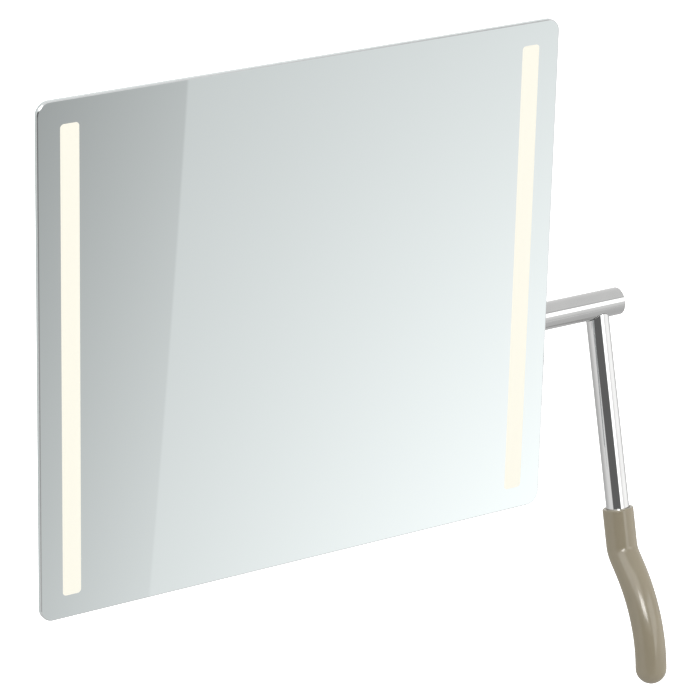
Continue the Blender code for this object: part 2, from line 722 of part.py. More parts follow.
def build_rear_cover(pane):
    centre = (0.0, COVER_Z)
    rim = (COVER_WIDTH + 2 * COVER_RIM, COVER_HEIGHT + 2 * COVER_RIM, 0.010)
    outer = (COVER_WIDTH, COVER_HEIGHT, 0.008)
    inner = (COVER_WIDTH - 2 * COVER_WALL, COVER_HEIGHT - 2 * COVER_WALL, 0.006)
    top = (COVER_WIDTH - 0.006, COVER_HEIGHT - 0.006, 0.005)
    rings = [
        rounded_ring(*inner, COVER_BACK - COVER_WALL, centre),
        rounded_ring(*inner, SEAT, centre),
        rounded_ring(*rim, SEAT, centre),
        rounded_ring(*rim, SEAT + COVER_WALL, centre),
        rounded_ring(*outer, SEAT + COVER_WALL, centre),
        rounded_ring(*outer, COVER_BACK - 0.003, centre),
        rounded_ring(*top, COVER_BACK, centre),
    ]
    cover = solid("rear_cover", loft(rings), "white_polymer", pane)
    holes = bmesh.new()
    for x, z in COVER_SCREW_PLACES:
        add_bar(holes, (x, SEAT - 0.002, z), (x, SEAT + 0.006, z), 0.002 + GAP, 12)
    for side in (-1, 1):
        start = (side * (COVER_WIDTH / 2 - 0.006), LEAD_Y, COVER_Z)
        end = (side * (COVER_WIDTH / 2 + 0.006), LEAD_Y, COVER_Z)
        add_bar(holes, start, end, LEAD_RADIUS + 0.0006, 12)
    bottom = COVER_Z - COVER_HEIGHT / 2
    add_bar(holes, (SUPPLY_X, SUPPLY_Y, bottom - 0.004), (SUPPLY_X, SUPPLY_Y, bottom + 0.006), 0.008, 16)
    for i in range(VENT_COUNT):
        x = (i - (VENT_COUNT - 1) / 2) * 0.009
        vent = [rounded_ring(0.003, 0.040, 0.0014, y, (x, COVER_Z), 1) for y in (-0.008, 0.006)]
        add_loft(holes, vent)
    cut(cover, holes)
    add_screws("cover_screw", COVER_SCREW_PLACES, pane)


def add_screws(stem, places, pane):
    """Pan-head screws through a 2 mm flange into the tray."""
    seat = SEAT + 0.002 + GAP
    first = None
    for number, (x, z) in enumerate(places, start=1):
        name = f"{stem}_{number}"
        if first:
            copy_of(first, name, (x, seat, z))
        else:
            shape = socket_screw(0.0038, 0.0024, 0.002, seat - SCREW_TIP, 0.0012)
            first = solid(name, shape, "zinc_steel", pane, (x, seat, z), FACING_WALL)


def build_cable_gland(pane):
    """Strain-relief gland in the cover's lower wall. Height 0 is the wall's outer face."""
    profile = [
        (0.004, 0.005),
        (0.008 - 2 * GAP, 0.005),
        (0.008 - 2 * GAP, -GAP),
        (0.0115, -GAP),
        (0.0115, -0.008),
        (0.0095, -0.009),
        (0.0095, -0.017),
        (0.0065, -0.021),
        (0.004, -0.021),
    ]
    bottom = COVER_Z - COVER_HEIGHT / 2
    solid("cable_gland", turned(profile, 16, hollow=True), "grey_polymer", pane, (SUPPLY_X, SUPPLY_Y, bottom))


# ---------------------------------------------------------------- lever and grip (moving)


def build_lever(lever):
    """The lever tube butts against the pivot tube with a coped end and is pulled up by a screw inside it."""
    inner = LEVER_RADIUS - LEVER_WALL
    end = GRIP_START + GRIP_SOCKET - GAP
    profile = [(inner, -0.004), (LEVER_RADIUS, -0.004), (LEVER_RADIUS, -end), (inner, -end)]
    tube = solid("lever_tube", turned(profile, 40, hollow=True), "bright_chrome", lever)
    cope = bmesh.new()
    add_bar(cope, (-0.03, 0, 0), (0.03, 0, 0), TUBE_RADIUS + GAP, 64)
    cut(tube, cope)

    radius = inner - GAP
    bore = 0.004 + GAP
    profile = [(bore, -0.017), (radius - 0.001, -0.017), (radius, -0.018), (radius, -0.057), (bore, -0.057)]
    solid("lever_spigot", turned(profile, 20, hollow=True), "zinc_steel", lever)
    screw = socket_screw(0.0062, 0.007, 0.004, 0.042, 0.003)
    solid("lever_screw", screw, "zinc_steel", lever, (0, 0, -0.0108))


def walk(steps):
    """Follows lines and arcs in the lever's plane. Gives (y, z, lean) stations; lean 0 heads down."""
    y, z, lean = 0.0, -GRIP_START, 0.0
    stations = [(y, z, lean)]
    for kind, amount, radius, count in steps:
        for _ in range(count):
            if kind == "line":
                y -= amount / count * sin(lean)
                z -= amount / count * cos(lean)
            else:
                turn = amount / count
                signed = radius if turn > 0 else -radius
                y += signed * (cos(lean + turn) - cos(lean))
                z -= signed * (sin(lean + turn) - sin(lean))
                lean += turn
            stations.append((y, z, lean))
    return stations


def grip_stations():
    tangent = GRIP_BEND_RADIUS * sin(GRIP_BEND / 2) / cos(GRIP_BEND / 2)
    return walk(
        [
            ("line", GRIP_SOCKET, 0, 1),
            ("line", GRIP_BEND_AT - GRIP_START - GRIP_SOCKET - tangent, 0, 2),
            ("arc", GRIP_BEND, GRIP_BEND_RADIUS, 4),
            ("line", GRIP_SLANT - tangent, 0, 1),
            ("arc", -GRIP_CURVE, GRIP_CURVE_RADIUS, 10),
        ]
    )


def station_ring(station, radius, ahead=0.0, segments=24):
    """A circle across the path at a station, moved ahead along the path's heading."""
    y, z, lean = station
    y -= ahead * sin(lean)
    z -= ahead * cos(lean)
    ring = []
    for i in range(segments):
        angle = 2 * pi * i / segments
        side, out = radius * cos(angle), radius * sin(angle)
        ring.append((side, y - out * cos(lean), z + out * sin(lean)))
    return ring


def build_grip(lever):
    """Bent grip with a round end. A steel core runs in its bore, up into the lever tube."""
    path = grip_stations()
    socket = LEVER_RADIUS + GAP
    bore = CORE_RADIUS + GAP
    top = path[0]
    inside = path[1:7] + path[8::2]
    rings = [station_ring(station, bore) for station in inside[::-1]]
    rings += [station_ring(path[1], socket), station_ring(top, socket)]
    rings += [station_ring(top, GRIP_RADIUS - GRIP_EDGE)]
    for share in (0.35, 1.0):
        drop = GRIP_EDGE * (1 - cos(share * pi / 2))
        rings.append(station_ring(top, GRIP_RADIUS - GRIP_EDGE + GRIP_EDGE * sin(share * pi / 2), drop))
    rings += [station_ring(station, GRIP_RADIUS) for station in path[1:]]
    round_steps = 6
    for i in range(1, round_steps + 1):
        angle = i / round_steps * radians(84)
        rings.append(station_ring(path[-1], GRIP_RADIUS * cos(angle), GRIP_RADIUS * sin(angle)))
    solid("grip", loft(rings), "taupe_polyamide", lever)

    shaft = LEVER_RADIUS - LEVER_WALL - GAP
    into_lever = 0.028
    head = (0.0, -GRIP_START + into_lever, 0.0)
    rings = [station_ring(head, shaft - 0.001, 0, 16), station_ring(head, shaft, 0.001, 16)]
    rings += [station_ring(path[1], shaft, -2 * GAP, 16), station_ring(path[1], CORE_RADIUS, -2 * GAP, 16)]
    rings += [station_ring(station, CORE_RADIUS, -GAP, 16) for station in inside[1:]]
    solid("grip_core", loft(rings), "zinc_steel", lever)


# ---------------------------------------------------------------- assembly


def build():
    clear_scene()
    bracket = empty("bearing_axis", (0, -WALL_TO_AXIS, 0))
    build_wall_plate()
    build_wall_grommet()
    for side, direction in (("left", -1), ("right", 1)):
        build_bearing(side, direction * BEARING_X, bracket)
    build_tilt_stop(bracket)

    axis = empty("tilt_axis", (0, -WALL_TO_AXIS, 0))
    build_pivot_tube(axis)
    build_tube_plugs(axis)
    build_collars(axis)
    for side, direction in (("left", -1), ("right", 1)):
        build_saddle(side, direction * SADDLE_X, axis)

    pane = empty("pane_centre", (0, 0, PANE_ABOVE_AXIS), axis)
    build_pane(pane)
    build_tray(pane)
    for side, direction in (("left", -1), ("right", 1)):
        build_light(side, direction, pane)
    build_driver(pane)
    build_terminal_block(pane)
    build_rear_cover(pane)
    build_cable_gland(pane)

    lever = empty("lever_axis", (LEVER_X, 0, 0), axis, -LEVER_ANGLE)
    build_lever(lever)
    build_grip(lever)


build()
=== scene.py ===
import json
from math import acos, asin, atan2, cos, pi, radians, sin, sqrt, tan

import bmesh
import bpy
from mathutils import Matrix, Vector


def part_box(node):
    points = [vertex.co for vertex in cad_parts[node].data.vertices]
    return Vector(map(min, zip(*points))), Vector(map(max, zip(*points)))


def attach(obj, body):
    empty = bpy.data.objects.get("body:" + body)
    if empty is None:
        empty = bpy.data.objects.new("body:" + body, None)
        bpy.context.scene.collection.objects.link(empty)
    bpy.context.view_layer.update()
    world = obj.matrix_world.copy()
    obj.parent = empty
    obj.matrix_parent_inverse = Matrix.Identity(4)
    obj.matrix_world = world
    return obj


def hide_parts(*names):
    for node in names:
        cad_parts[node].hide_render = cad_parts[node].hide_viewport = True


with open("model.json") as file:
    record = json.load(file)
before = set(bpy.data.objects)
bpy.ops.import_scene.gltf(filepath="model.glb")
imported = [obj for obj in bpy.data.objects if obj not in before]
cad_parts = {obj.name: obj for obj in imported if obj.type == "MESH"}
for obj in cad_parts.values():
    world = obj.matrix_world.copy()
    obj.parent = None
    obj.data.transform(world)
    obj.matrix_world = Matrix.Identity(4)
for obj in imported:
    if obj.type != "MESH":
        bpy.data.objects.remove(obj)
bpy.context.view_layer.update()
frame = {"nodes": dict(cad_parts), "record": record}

FIXED = "wall_bracket"
MOVING = "mirror_unit"
NODES = frame["nodes"]
SLOTS = {row["node"]: row["material_slot"] for row in frame["record"]["subparts"]}
SIDES = (("left", -1), ("right", 1))

GAP = 0.0003  # kept between pieces that touch
PANE_CORNER = 0.014
WINDOW_WIDTH, WINDOW_INSET, WINDOW_CORNER = 0.0205, 0.0245, 0.004
TUBE_WALL = 0.002  # of the pivot tube and of the lever
LEVER_LEAN = radians(15)
LEVER_RADIUS = 0.0127
SHEET = 0.0015  # of the tray and of the lamp channels
LEAD_RADIUS = 0.002
LEAD_HOLE = 0.0026
SMALL_SCREW_HOLE = 0.0023


# ---- places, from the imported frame


def box(node):
    low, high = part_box(node)
    return Vector(low), Vector(high)


def middle(node):
    low, high = box(node)
    return (low + high) / 2


def face_of(low, high):
    """Width, height and centre of a box, seen from the front."""
    return high.x - low.x, high.z - low.z, ((low.x + high.x) / 2, (low.z + high.z) / 2)


glass_low, glass_high = box("mirror_glass")
tube_low, tube_high = box("pivot_tube")
AXIS_Y = middle("pivot_tube").y
AXIS_Z = middle("pivot_tube").z
TUBE_RADIUS = (tube_high.z - tube_low.z) / 2


def at_axis(x):
    return Matrix.Translation((x, AXIS_Y, AXIS_Z))


ALONG_LEVER = at_axis(middle("lever_tube").x) @ Matrix.Rotation(-LEVER_LEAN, 4, "X")


def body_of(node):
    fixed = ("wall_", "bearing_", "bush_", "cap_screw", "stop_fork", "rest_bumper", "tilt_bumper")
    return FIXED if node.startswith(fixed) else MOVING


# ---- camera and floor


def make_camera():
    data = bpy.data.cameras.new("camera")
    camera = bpy.data.objects.new("camera", data)
    bpy.context.scene.collection.objects.link(camera)
    camera.location = (-1.83341, -3.01090, 1.41559)
    camera.rotation_euler = (radians(68.2723), radians(-1.3374), radians(-32.3407))
    data.sensor_width = 36.0
    data.lens = 189.70
    data.clip_end = 100.0
    bpy.context.scene.camera = camera


def make_floor():
    """A pale sheet well below the object, seen by the camera only."""
    size, drop = 30.0, -3.4
    shape = bmesh.new()
    signs = ((-1, -1), (1, -1), (1, 1), (-1, 1))
    shape.faces.new([shape.verts.new((x * size, y * size, drop)) for x, y in signs])
    mesh = bpy.data.meshes.new("floor")
    shape.to_mesh(mesh)
    shape.free()
    floor = bpy.data.objects.new("floor", mesh)
    bpy.context.scene.collection.objects.link(floor)
    mesh.materials.append(Finish("floor", (0.9, 0.9, 0.9), 0.9).glow((1.0, 1.0, 1.0), 1.0).material)
    floor.visible_glossy = False
    floor.visible_diffuse = False
    floor.visible_transmission = False
    floor.visible_shadow = False


# ---- shader nodes with short names


def feed(tree, socket, value):
    """Links an input to a socket, or sets a number, a colour (tuple) or a vector (list) on it."""
    if isinstance(value, bpy.types.NodeSocket):
        tree.links.new(value, socket)
    else:
        socket.default_value = (*value, 1.0) if isinstance(value, tuple) else value


def add_node(tree, kind, inputs=None):
    """A shader node, with inputs linked or set by their names or numbers."""
    node = tree.nodes.new(f"ShaderNode{kind}")
    for name, value in (inputs or {}).items():
        feed(tree, node.inputs[name], value)
    return node


class Maths:
    """Short names for the maths nodes of one tree. Values are sockets or numbers."""

    def __init__(self, tree):
        self.tree = tree

    def op(self, kind, a, b=0.0, clamp=False):
        node = add_node(self.tree, "Math", {0: a, 1: b})
        node.operation = kind
        node.use_clamp = clamp
        return node.outputs[0]

    def add(self, a, b):
        return self.op("ADD", a, b)

    def sub(self, a, b):
        return self.op("SUBTRACT", a, b)

    def mul(self, a, b):
        return self.op("MULTIPLY", a, b)

    def rise(self, value, start, end):
        """0 below start, 1 above end, smooth between."""
        node = add_node(self.tree, "MapRange", {"Value": value, "From Min": start, "From Max": end})
        node.interpolation_type = "SMOOTHSTEP"
        return node.outputs["Result"]

    def band(self, value, low, high, edge):
        """1 between low and high, with soft edges as wide as edge."""
        up = self.rise(value, low - edge / 2, low + edge / 2)
        down = self.rise(value, high - edge / 2, high + edge / 2)
        return self.mul(up, self.sub(1.0, down))

    def mix(self, share, a, b):
        return self.add(self.mul(self.sub(1.0, share), a), self.mul(share, b))

    def line(self, value, stops):
        """Straight pieces between (value, result) stops."""
        result = stops[0][1]
        for (x0, y0), (x1, y1) in zip(stops, stops[1:]):
            inputs = {"Value": value, "From Min": x0, "From Max": x1, "To Min": 0.0, "To Max": y1 - y0}
            result = self.add(result, add_node(self.tree, "MapRange", inputs).outputs["Result"])
        return result


# ---- studio


def make_studio():
    """A soft studio as a sky: pale all round, a large light box in front and shades that grade it."""
    world = bpy.data.worlds.new("studio")
    bpy.context.scene.world = world
    world.use_nodes = True
    tree = world.node_tree
    tree.nodes.clear()
    m = Maths(tree)
    direction = add_node(tree, "TexCoord").outputs["Generated"]
    x, y, z = add_node(tree, "SeparateXYZ", {0: direction}).outputs
    degrees = 180 / pi
    turn = m.mul(m.op("ARCTAN2", x, m.mul(y, -1.0)), degrees)  # 0 towards the viewer's side, 90 to +X
    rise = m.mul(m.op("ARCSINE", z), degrees)

    def lay(tone, turns, rises, level, share=None):
        """Mixes a level in over a soft rectangle. turns and rises are (low, high, width of the edge)."""
        over = m.mul(m.band(turn, *turns), m.band(rise, *rises))
        return m.mix(over if share is None else m.mul(over, share), tone, level)

    # the room: darker below, brightest level with the object
    room = [(-90, 0.62), (-50, 0.67), (-27, 0.75), (-14, 0.88), (-2, 1.06), (8, 1.0), (50, 0.90)]
    tone = m.line(rise, room)
    shaded_wall = m.line(turn, [(-180, 0.55), (-160, 0.55), (-140, 0.62), (-122, 0.77), (-106, 0.90)])
    tone = lay(tone, (-190, -90, 12), (-60, 6, 16), shaded_wall)
    tone = lay(tone, (42, 86, 12), (-13, 4, 8), 1.26)
    tone = lay(tone, (90, 128, 10), (-26, 0, 8), 0.70)

    # grade in the mirror: brighter to the right and downwards, with the edge of a shade across it
    u = m.sub(turn, 30.0)
    v = m.sub(m.mul(rise, -1.0), 17.0)
    uv = m.mul(u, v)

    def plane(a, b, c, d):
        return m.add(m.add(a, m.mul(u, b)), m.add(m.mul(v, c), m.mul(uv, d)))

    right = plane(0.620, 0.0315, 0.0212, 0.0027)
    left = plane(0.504, 0.0665, 0.0300, 0.0017)
    bow = m.mul(v, m.add(m.mul(v, 0.00206), 0.0559))
    step = m.rise(m.add(turn, bow), 30.137, 30.197)
    tone = lay(tone, (25.0, 36.9, 0.8), (-28.0, -15.0, 2.0), m.mix(step, left, right))

    # what the pane's upper and left arris reflect
    tone = lay(tone, (34, 46, 2), (35, 43, 2), m.line(turn, [(37, 0.88), (41, 0.78), (43.6, 0.66)]))
    tone = lay(tone, (-60, -20, 6), (-31, -17, 3), m.line(rise, [(-26, 0.52), (-19, 0.30)]))

    # a dark screen, a light box with a slanted lower edge, and two lamps that show in gloss only
    tone = lay(tone, (-77, -2, 9), (-18, 9, 5), 0.15)
    tilted = m.sub(rise, m.mul(m.sub(turn, 34.0), 0.42))
    box_rise = m.mul(m.rise(tilted, 6.5, 9.5), m.sub(1.0, m.rise(rise, 29.5, 33.0)))
    tone = m.mix(m.mul(m.band(turn, 1, 46, 7), box_rise), tone, 2.6)
    path = add_node(tree, "LightPath").outputs
    gloss_only = m.mul(path["Is Glossy Ray"], m.sub(1.0, m.op("MINIMUM", path["Diffuse Depth"], 1.0)))
    tone = lay(tone, (-100, -12, 14), (18, 50, 8), 2.9, gloss_only)
    tone = lay(tone, (-45, -21, 10), (18, 31, 7), 14.0, gloss_only)
    tone = m.mix(path["Is Camera Ray"], tone, 1.0)
    background = add_node(tree, "Background", {"Color": (1.0, 1.0, 1.0), "Strength": tone})
    add_node(tree, "OutputWorld", {"Surface": background.outputs[0]})


# ---- finish building blocks


class Finish:
    """One material: a Principled shader and the nodes that vary it."""

    def __init__(self, name, colour, roughness, metallic=0.0):
        self.material = bpy.data.materials.new(name)
        self.material.use_nodes = True
        self.tree = self.material.node_tree
        self.shader = self.tree.nodes["Principled BSDF"]
        self.maths = Maths(self.tree)
        self.place = add_node(self.tree, "TexCoord").outputs["Object"]
        self.normal = None
        self.colour = colour
        self.set("Base Color", colour)
        self.set("Roughness", roughness)
        self.set("Metallic", metallic)

    def set(self, name, value):
        feed(self.tree, self.shader.inputs[name], value)
        return self

    def place_axes(self):
        return add_node(self.tree, "SeparateXYZ", {0: self.place}).outputs

    def texture(self, kind, scale, **inputs):
        return add_node(self.tree, f"Tex{kind}", {"Vector": self.place, "Scale": scale, **inputs})

    def noise(self, scale, detail=3.0, stretch=(1, 1, 1)):
        mapping = add_node(self.tree, "Mapping", {"Vector": self.place, "Scale": list(stretch)})
        place = mapping.outputs["Vector"]
        return self.texture("Noise", scale, Vector=place, Detail=detail).outputs["Fac"]

    def cells(self, scale):
        return self.texture("Voronoi", scale).outputs["Distance"]

    def wave(self, scale, direction):
        node = self.texture("Wave", scale)
        node.bands_direction = direction
        return node.outputs["Fac"]

    def shades(self, factor, stops):
        """Colours or greys along a factor, from (position, value) stops."""
        node = add_node(self.tree, "ValToRGB", {"Fac": factor})
        ramp = node.color_ramp
        while len(ramp.elements) < len(stops):
            ramp.elements.new(0.5)
        for element, (position, value) in zip(ramp.elements, stops):
            element.position = position
            element.color = (*value, 1.0) if isinstance(value, tuple) else (value, value, value, 1.0)
        return node.outputs["Color"]

    def tones(self, factor, low, high):
        """The finish's own colour, from low to high times as bright along a factor."""
        return self.shades(factor, [(0.3, scaled(self.colour, low)), (0.7, scaled(self.colour, high))])

    def tint(self, factor, low, high):
        return self.set("Base Color", self.tones(factor, low, high))

    def polish(self, factor, low, high, ends=(0.3, 0.7)):
        """The roughness, from low to high along a factor."""
        return self.set("Roughness", self.shades(factor, list(zip(ends, (low, high)))))

    def glow(self, colour, strength):
        return self.set("Emission Color", colour).set("Emission Strength", strength)

    def blend(self, factor, a, b):
        node = add_node(self.tree, "Mix")
        node.data_type = "RGBA"
        for number, value in ((0, factor), (6, a), (7, b)):
            feed(self.tree, node.inputs[number], value)
        return node.outputs[2]

    def edges(self, radius, gain=4.0):
        """1 on edges that stick out or are sharp, 0 on flat faces."""
        bevel = add_node(self.tree, "Bevel", {"Radius": radius})
        bevel.samples = 4
        face = add_node(self.tree, "NewGeometry")
        dot = add_node(self.tree, "VectorMath", {0: bevel.outputs["Normal"], 1: face.outputs["Normal"]})
        dot.operation = "DOT_PRODUCT"
        return self.maths.op("MULTIPLY", self.maths.sub(1.0, dot.outputs["Value"]), gain, clamp=True)

    def bump(self, height, strength, depth):
        """Relief of a depth in metres; a second call adds to the first."""
        node = add_node(self.tree, "Bump", {"Height": height, "Strength": strength, "Distance": depth})
        if self.normal is not None:
            feed(self.tree, node.inputs["Normal"], self.normal)
        self.normal = node.outputs["Normal"]
        return self.set("Normal", self.normal)


def scaled(colour, factor):
    return tuple(min(channel * factor, 1.0) for channel in colour)


# ---- finishes: each function returns its Finish


def silvering():
    f = Finish("silvering", (0.896, 0.955, 0.952), 0.0, 1.0)
    return f.polish(f.noise(7.0, 4.0), 0.0, 0.018, (0.45, 0.85))


def frosted_window():
    f = Finish("frosted_window", (0.42, 0.385, 0.30), 0.42)
    grain = f.noise(2600.0, 2.0)
    f.tint(grain, 0.96, 1.04)
    f.bump(grain, 0.25, 0.00004)
    return f.glow((0.99, 1.0, 0.92), 0.592)


def polished_edge():
    f = Finish("polished_edge", (0.68, 0.73, 0.725), 0.12)
    f.tint(f.noise(120.0, 3.0, (1.0, 14.0, 1.0)), 0.9, 1.1)
    f.polish(f.noise(300.0), 0.06, 0.2)
    f.set("Coat Weight", 0.5)
    return f.set("Coat Roughness", 0.03)


def polished_arris():
    f = Finish("polished_arris", (0.72, 0.74, 0.74), 0.06, 1.0)
    f.tint(f.noise(160.0), 0.96, 1.04)
    return f.polish(f.noise(260.0), 0.04, 0.09)


def mirror_back_paint():
    f = Finish("mirror_back_paint", (0.20, 0.225, 0.225), 0.5)
    f.tint(f.noise(18.0, 5.0), 0.88, 1.12)
    f.polish(f.noise(90.0), 0.42, 0.6)
    return f.bump(f.noise(900.0, 2.0), 0.3, 0.0001)


def backing_film():
    """Woven-backed film: a fine square weave and slow waves."""
    f = Finish("backing_film", (0.47, 0.49, 0.50), 0.38)
    weave = f.maths.mul(f.wave(140.0, "X"), f.wave(140.0, "Z"))
    f.tint(f.noise(9.0, 5.0), 0.93, 1.06)
    f.polish(weave, 0.3, 0.5, (0.0, 1.0))
    f.bump(weave, 0.35, 0.00012)
    return f.bump(f.noise(22.0, 2.0), 0.25, 0.0006)


def foam():
    f = Finish("foam", (0.035, 0.035, 0.035), 0.92)
    pores_and_pore_shade = f.cells(1500.0)
    # painted shade: the base colour is darker in the pits of the pores, which the bump below sinks
    f.set("Base Color", f.shades(pores_and_pore_shade, [(0.1, 0.015), (0.6, 0.055)]))
    return f.bump(pores_and_pore_shade, 0.6, 0.0002)


def satin_chrome():
    """Fine polishing lines along the tube."""
    f = Finish("satin_chrome", (0.575, 0.575, 0.57), 0.06, 1.0)
    lines = f.noise(90.0, 4.0, (0.12, 6.0, 6.0))
    f.tint(f.noise(30.0), 0.97, 1.03)
    f.polish(lines, 0.045, 0.085)
    return f.bump(lines, 0.05, 0.00003)


def bright_chrome():
    f = Finish("bright_chrome", (0.72, 0.72, 0.715), 0.03, 1.0)
    haze = f.noise(45.0, 4.0)
    f.tint(haze, 0.98, 1.02)
    f.polish(haze, 0.018, 0.05, (0.35, 0.75))
    return f.bump(f.noise(160.0, 3.0, (5.0, 5.0, 0.2)), 0.02, 0.00002)


def turned_chrome():
    """Turned end faces: fine rings round the tube's axis."""
    f = Finish("turned_chrome", (0.66, 0.66, 0.655), 0.12, 1.0)
    ring_pitch = 0.00045
    _, y, z = f.place_axes()
    y, z = f.maths.sub(y, AXIS_Y), f.maths.sub(z, AXIS_Z)
    radius = f.maths.op("SQRT", f.maths.add(f.maths.mul(y, y), f.maths.mul(z, z)))
    f.polish(f.noise(400.0), 0.08, 0.2)
    return f.bump(f.maths.op("SINE", f.maths.mul(radius, 2 * pi / ring_pitch)), 0.12, 0.00002)


def taupe_polyamide():
    f = Finish("taupe_polyamide", (0.325, 0.283, 0.202), 0.13)
    f.tint(f.noise(24.0, 4.0), 0.96, 1.05)
    f.polish(f.noise(60.0, 5.0), 0.10, 0.16)
    return f.bump(f.noise(900.0, 2.0), 0.03, 0.00003)


def powder_coat(name, colour):
    """Slight orange peel, with the metal showing in small chips along the edges."""
    f = Finish(name, colour, 0.42)
    chips = f.maths.mul(f.edges(0.0009, 5.0), f.maths.rise(f.noise(420.0, 4.0), 0.5, 0.66))
    f.set("Base Color", f.blend(chips, f.tones(f.noise(14.0, 4.0), 0.95, 1.03), (0.5, 0.5, 0.49)))
    f.polish(f.noise(40.0), 0.36, 0.5)
    return f.bump(f.noise(650.0, 2.0), 0.35, 0.00012)


def blasted_aluminium():
    f = Finish("blasted_aluminium", (0.58, 0.59, 0.60), 0.38, 1.0)
    bright = f.maths.mul(f.edges(0.0008, 4.0), 0.8)
    f.set("Base Color", f.blend(bright, f.tones(f.noise(60.0, 5.0), 0.86, 1.1), (0.80, 0.81, 0.82)))
    f.polish(f.noise(150.0), 0.3, 0.48)
    return f.bump(f.noise(1900.0), 0.5, 0.00008)


def extruded_aluminium():
    """Die lines along the profile."""
    f = Finish("extruded_aluminium", (0.64, 0.65, 0.66), 0.33, 1.0)
    lines = f.noise(500.0, 4.0, (4.0, 4.0, 0.02))
    f.tint(lines, 0.9, 1.1)
    f.polish(lines, 0.24, 0.42)
    return f.bump(lines, 0.3, 0.00005)


def zinc_plate():
    """Blue and yellow tints of a passivated coat, worn bright along the edges."""
    colour = (0.56, 0.565, 0.56)
    f = Finish("zinc_plate", colour, 0.3, 1.0)
    tints = [(0.3, (0.50, 0.53, 0.58)), (0.5, colour), (0.72, (0.61, 0.585, 0.50))]
    worn = f.maths.mul(f.edges(0.0005, 4.0), 0.7)
    f.set("Base Color", f.blend(worn, f.shades(f.noise(110.0), tints), (0.74, 0.74, 0.73)))
    f.polish(f.noise(260.0), 0.2, 0.4)
    return f.bump(f.noise(1200.0), 0.2, 0.00004)


def moulded_plastic(name, colour, roughness, grain=1100.0, depth=0.00009):
    """Injection-moulded plastic with a fine eroded texture."""
    f = Finish(name, colour, roughness)
    f.tint(f.noise(20.0), 0.96, 1.03)
    f.polish(f.noise(75.0), roughness - 0.06, roughness + 0.07)
    return f.bump(f.cells(grain), 0.4, depth)


def bearing_polymer():
    f = Finish("bearing_polymer", (0.80, 0.775, 0.70), 0.36)
    f.tint(f.noise(50.0), 0.94, 1.04)
    return f.bump(f.noise(700.0, 3.0, (3.0, 1.0, 1.0)), 0.2, 0.00005)


def black_rubber():
    f = Finish("black_rubber", (0.025, 0.025, 0.026), 0.72)
    dust = f.noise(160.0, 5.0)
    f.set("Base Color", f.shades(dust, [(0.4, (0.02, 0.02, 0.021)), (0.75, (0.06, 0.06, 0.058))]))
    f.polish(dust, 0.6, 0.85)
    return f.bump(f.noise(1500.0), 0.3, 0.00008)


def opal():
    f = Finish("opal", (0.90, 0.88, 0.80), 0.45)
    f.bump(f.noise(800.0), 0.1, 0.00005)
    f.polish(f.noise(50.0), 0.4, 0.52)
    return f.glow((1.0, 0.93, 0.76), 0.5)


def lamp_board():
    """White board with a row of small yellow lamps along its middle."""
    white, lamp_colour = (0.82, 0.83, 0.81), (0.85, 0.68, 0.16)
    half_pitch, row_x, lamp_half, edge = 0.006, 0.26525, 0.0014, 0.0001
    f = Finish("lamp_board", white, 0.4)
    x, _, z = f.place_axes()
    along = f.maths.op("PINGPONG", z, half_pitch)
    across = f.maths.op("ABSOLUTE", f.maths.sub(f.maths.op("ABSOLUTE", x), row_x))
    inside = [f.maths.sub(1.0, f.maths.rise(way, lamp_half, lamp_half + edge)) for way in (along, across)]
    f.set("Base Color", f.blend(f.maths.mul(*inside), white, lamp_colour))
    return f.polish(f.noise(300.0), 0.34, 0.48)


def cable_sheath():
    f = Finish("cable_sheath", (0.82, 0.82, 0.80), 0.32)
    f.tint(f.noise(60.0), 0.95, 1.03)
    return f.bump(f.noise(900.0, 2.0), 0.15, 0.00005)


FINISHES = {
    "silvering": silvering(),
    "window": frosted_window(),
    "edge": polished_edge(),
    "arris": polished_arris(),
    "back_paint": mirror_back_paint(),
    "safety_film": backing_film(),
    "foam_tape": foam(),
    "tray_coating": powder_coat("tray_coat", (0.60, 0.61, 0.61)),
    "plate_coating": powder_coat("plate_coat", (0.76, 0.76, 0.745)),
    "cast_aluminium": blasted_aluminium(),
    "extruded_aluminium": extruded_aluminium(),
    "bush_polymer": bearing_polymer(),
    "zinc_steel": zinc_plate(),
    "rubber": black_rubber(),
    "satin_chrome": satin_chrome(),
    "bright_chrome": bright_chrome(),
    "turned_chrome": turned_chrome(),
    "grip_polyamide": taupe_polyamide(),
    "opal_diffuser": opal(),
    "circuit_board": lamp_board(),
    "housing_plastic": moulded_plastic("housing_plastic", (0.74, 0.74, 0.72), 0.42),
    "terminal_plastic": moulded_plastic("terminal_plastic", (0.70, 0.70, 0.68), 0.38, 1600.0, 0.00005),
    "gland_polymer": moulded_plastic("gland_polymer", (0.30, 0.31, 0.32), 0.42, 1400.0, 0.00006),
    "lead_insulation": cable_sheath(),
}


# ---- shape building blocks


def shell(node, shape, bevel=0.0, smooth=28.0, place=None, name=None, materials=None):
    """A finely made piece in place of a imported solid, in its slot's finish or in the materials named.
    place moves a shape that was made in its own coordinates. Edges sharper than smooth degrees stay
    sharp; where bevel is given, it rounds all sharp edges instead."""
    bmesh.ops.remove_doubles(shape, verts=shape.verts, dist=1e-7)
    bmesh.ops.recalc_face_normals(shape, faces=shape.faces)
    if place is not None:
        bmesh.ops.transform(shape, matrix=place, verts=shape.verts)
    name = name or f"{node}_shell"
    mesh = bpy.data.meshes.new(name)
    shape.to_mesh(mesh)
    shape.free()
    mesh.shade_smooth()
    for material in materials or [SLOTS[node]]:
        mesh.materials.append(FINISHES[material].material)
    obj = bpy.data.objects.new(name, mesh)
    bpy.context.scene.collection.objects.link(obj)
    if bevel:
        rounding = obj.modifiers.new("edges", "BEVEL")
        rounding.width = bevel
        rounding.segments = 3
        rounding.limit_method = "ANGLE"
        rounding.angle_limit = radians(33)
    else:
        mesh.set_sharp_from_angle(angle=radians(smooth))
    flat = obj.modifiers.new("weighted_normals", "WEIGHTED_NORMAL")
    flat.keep_sharp = True
    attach(obj, body_of(node))
    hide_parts(node)


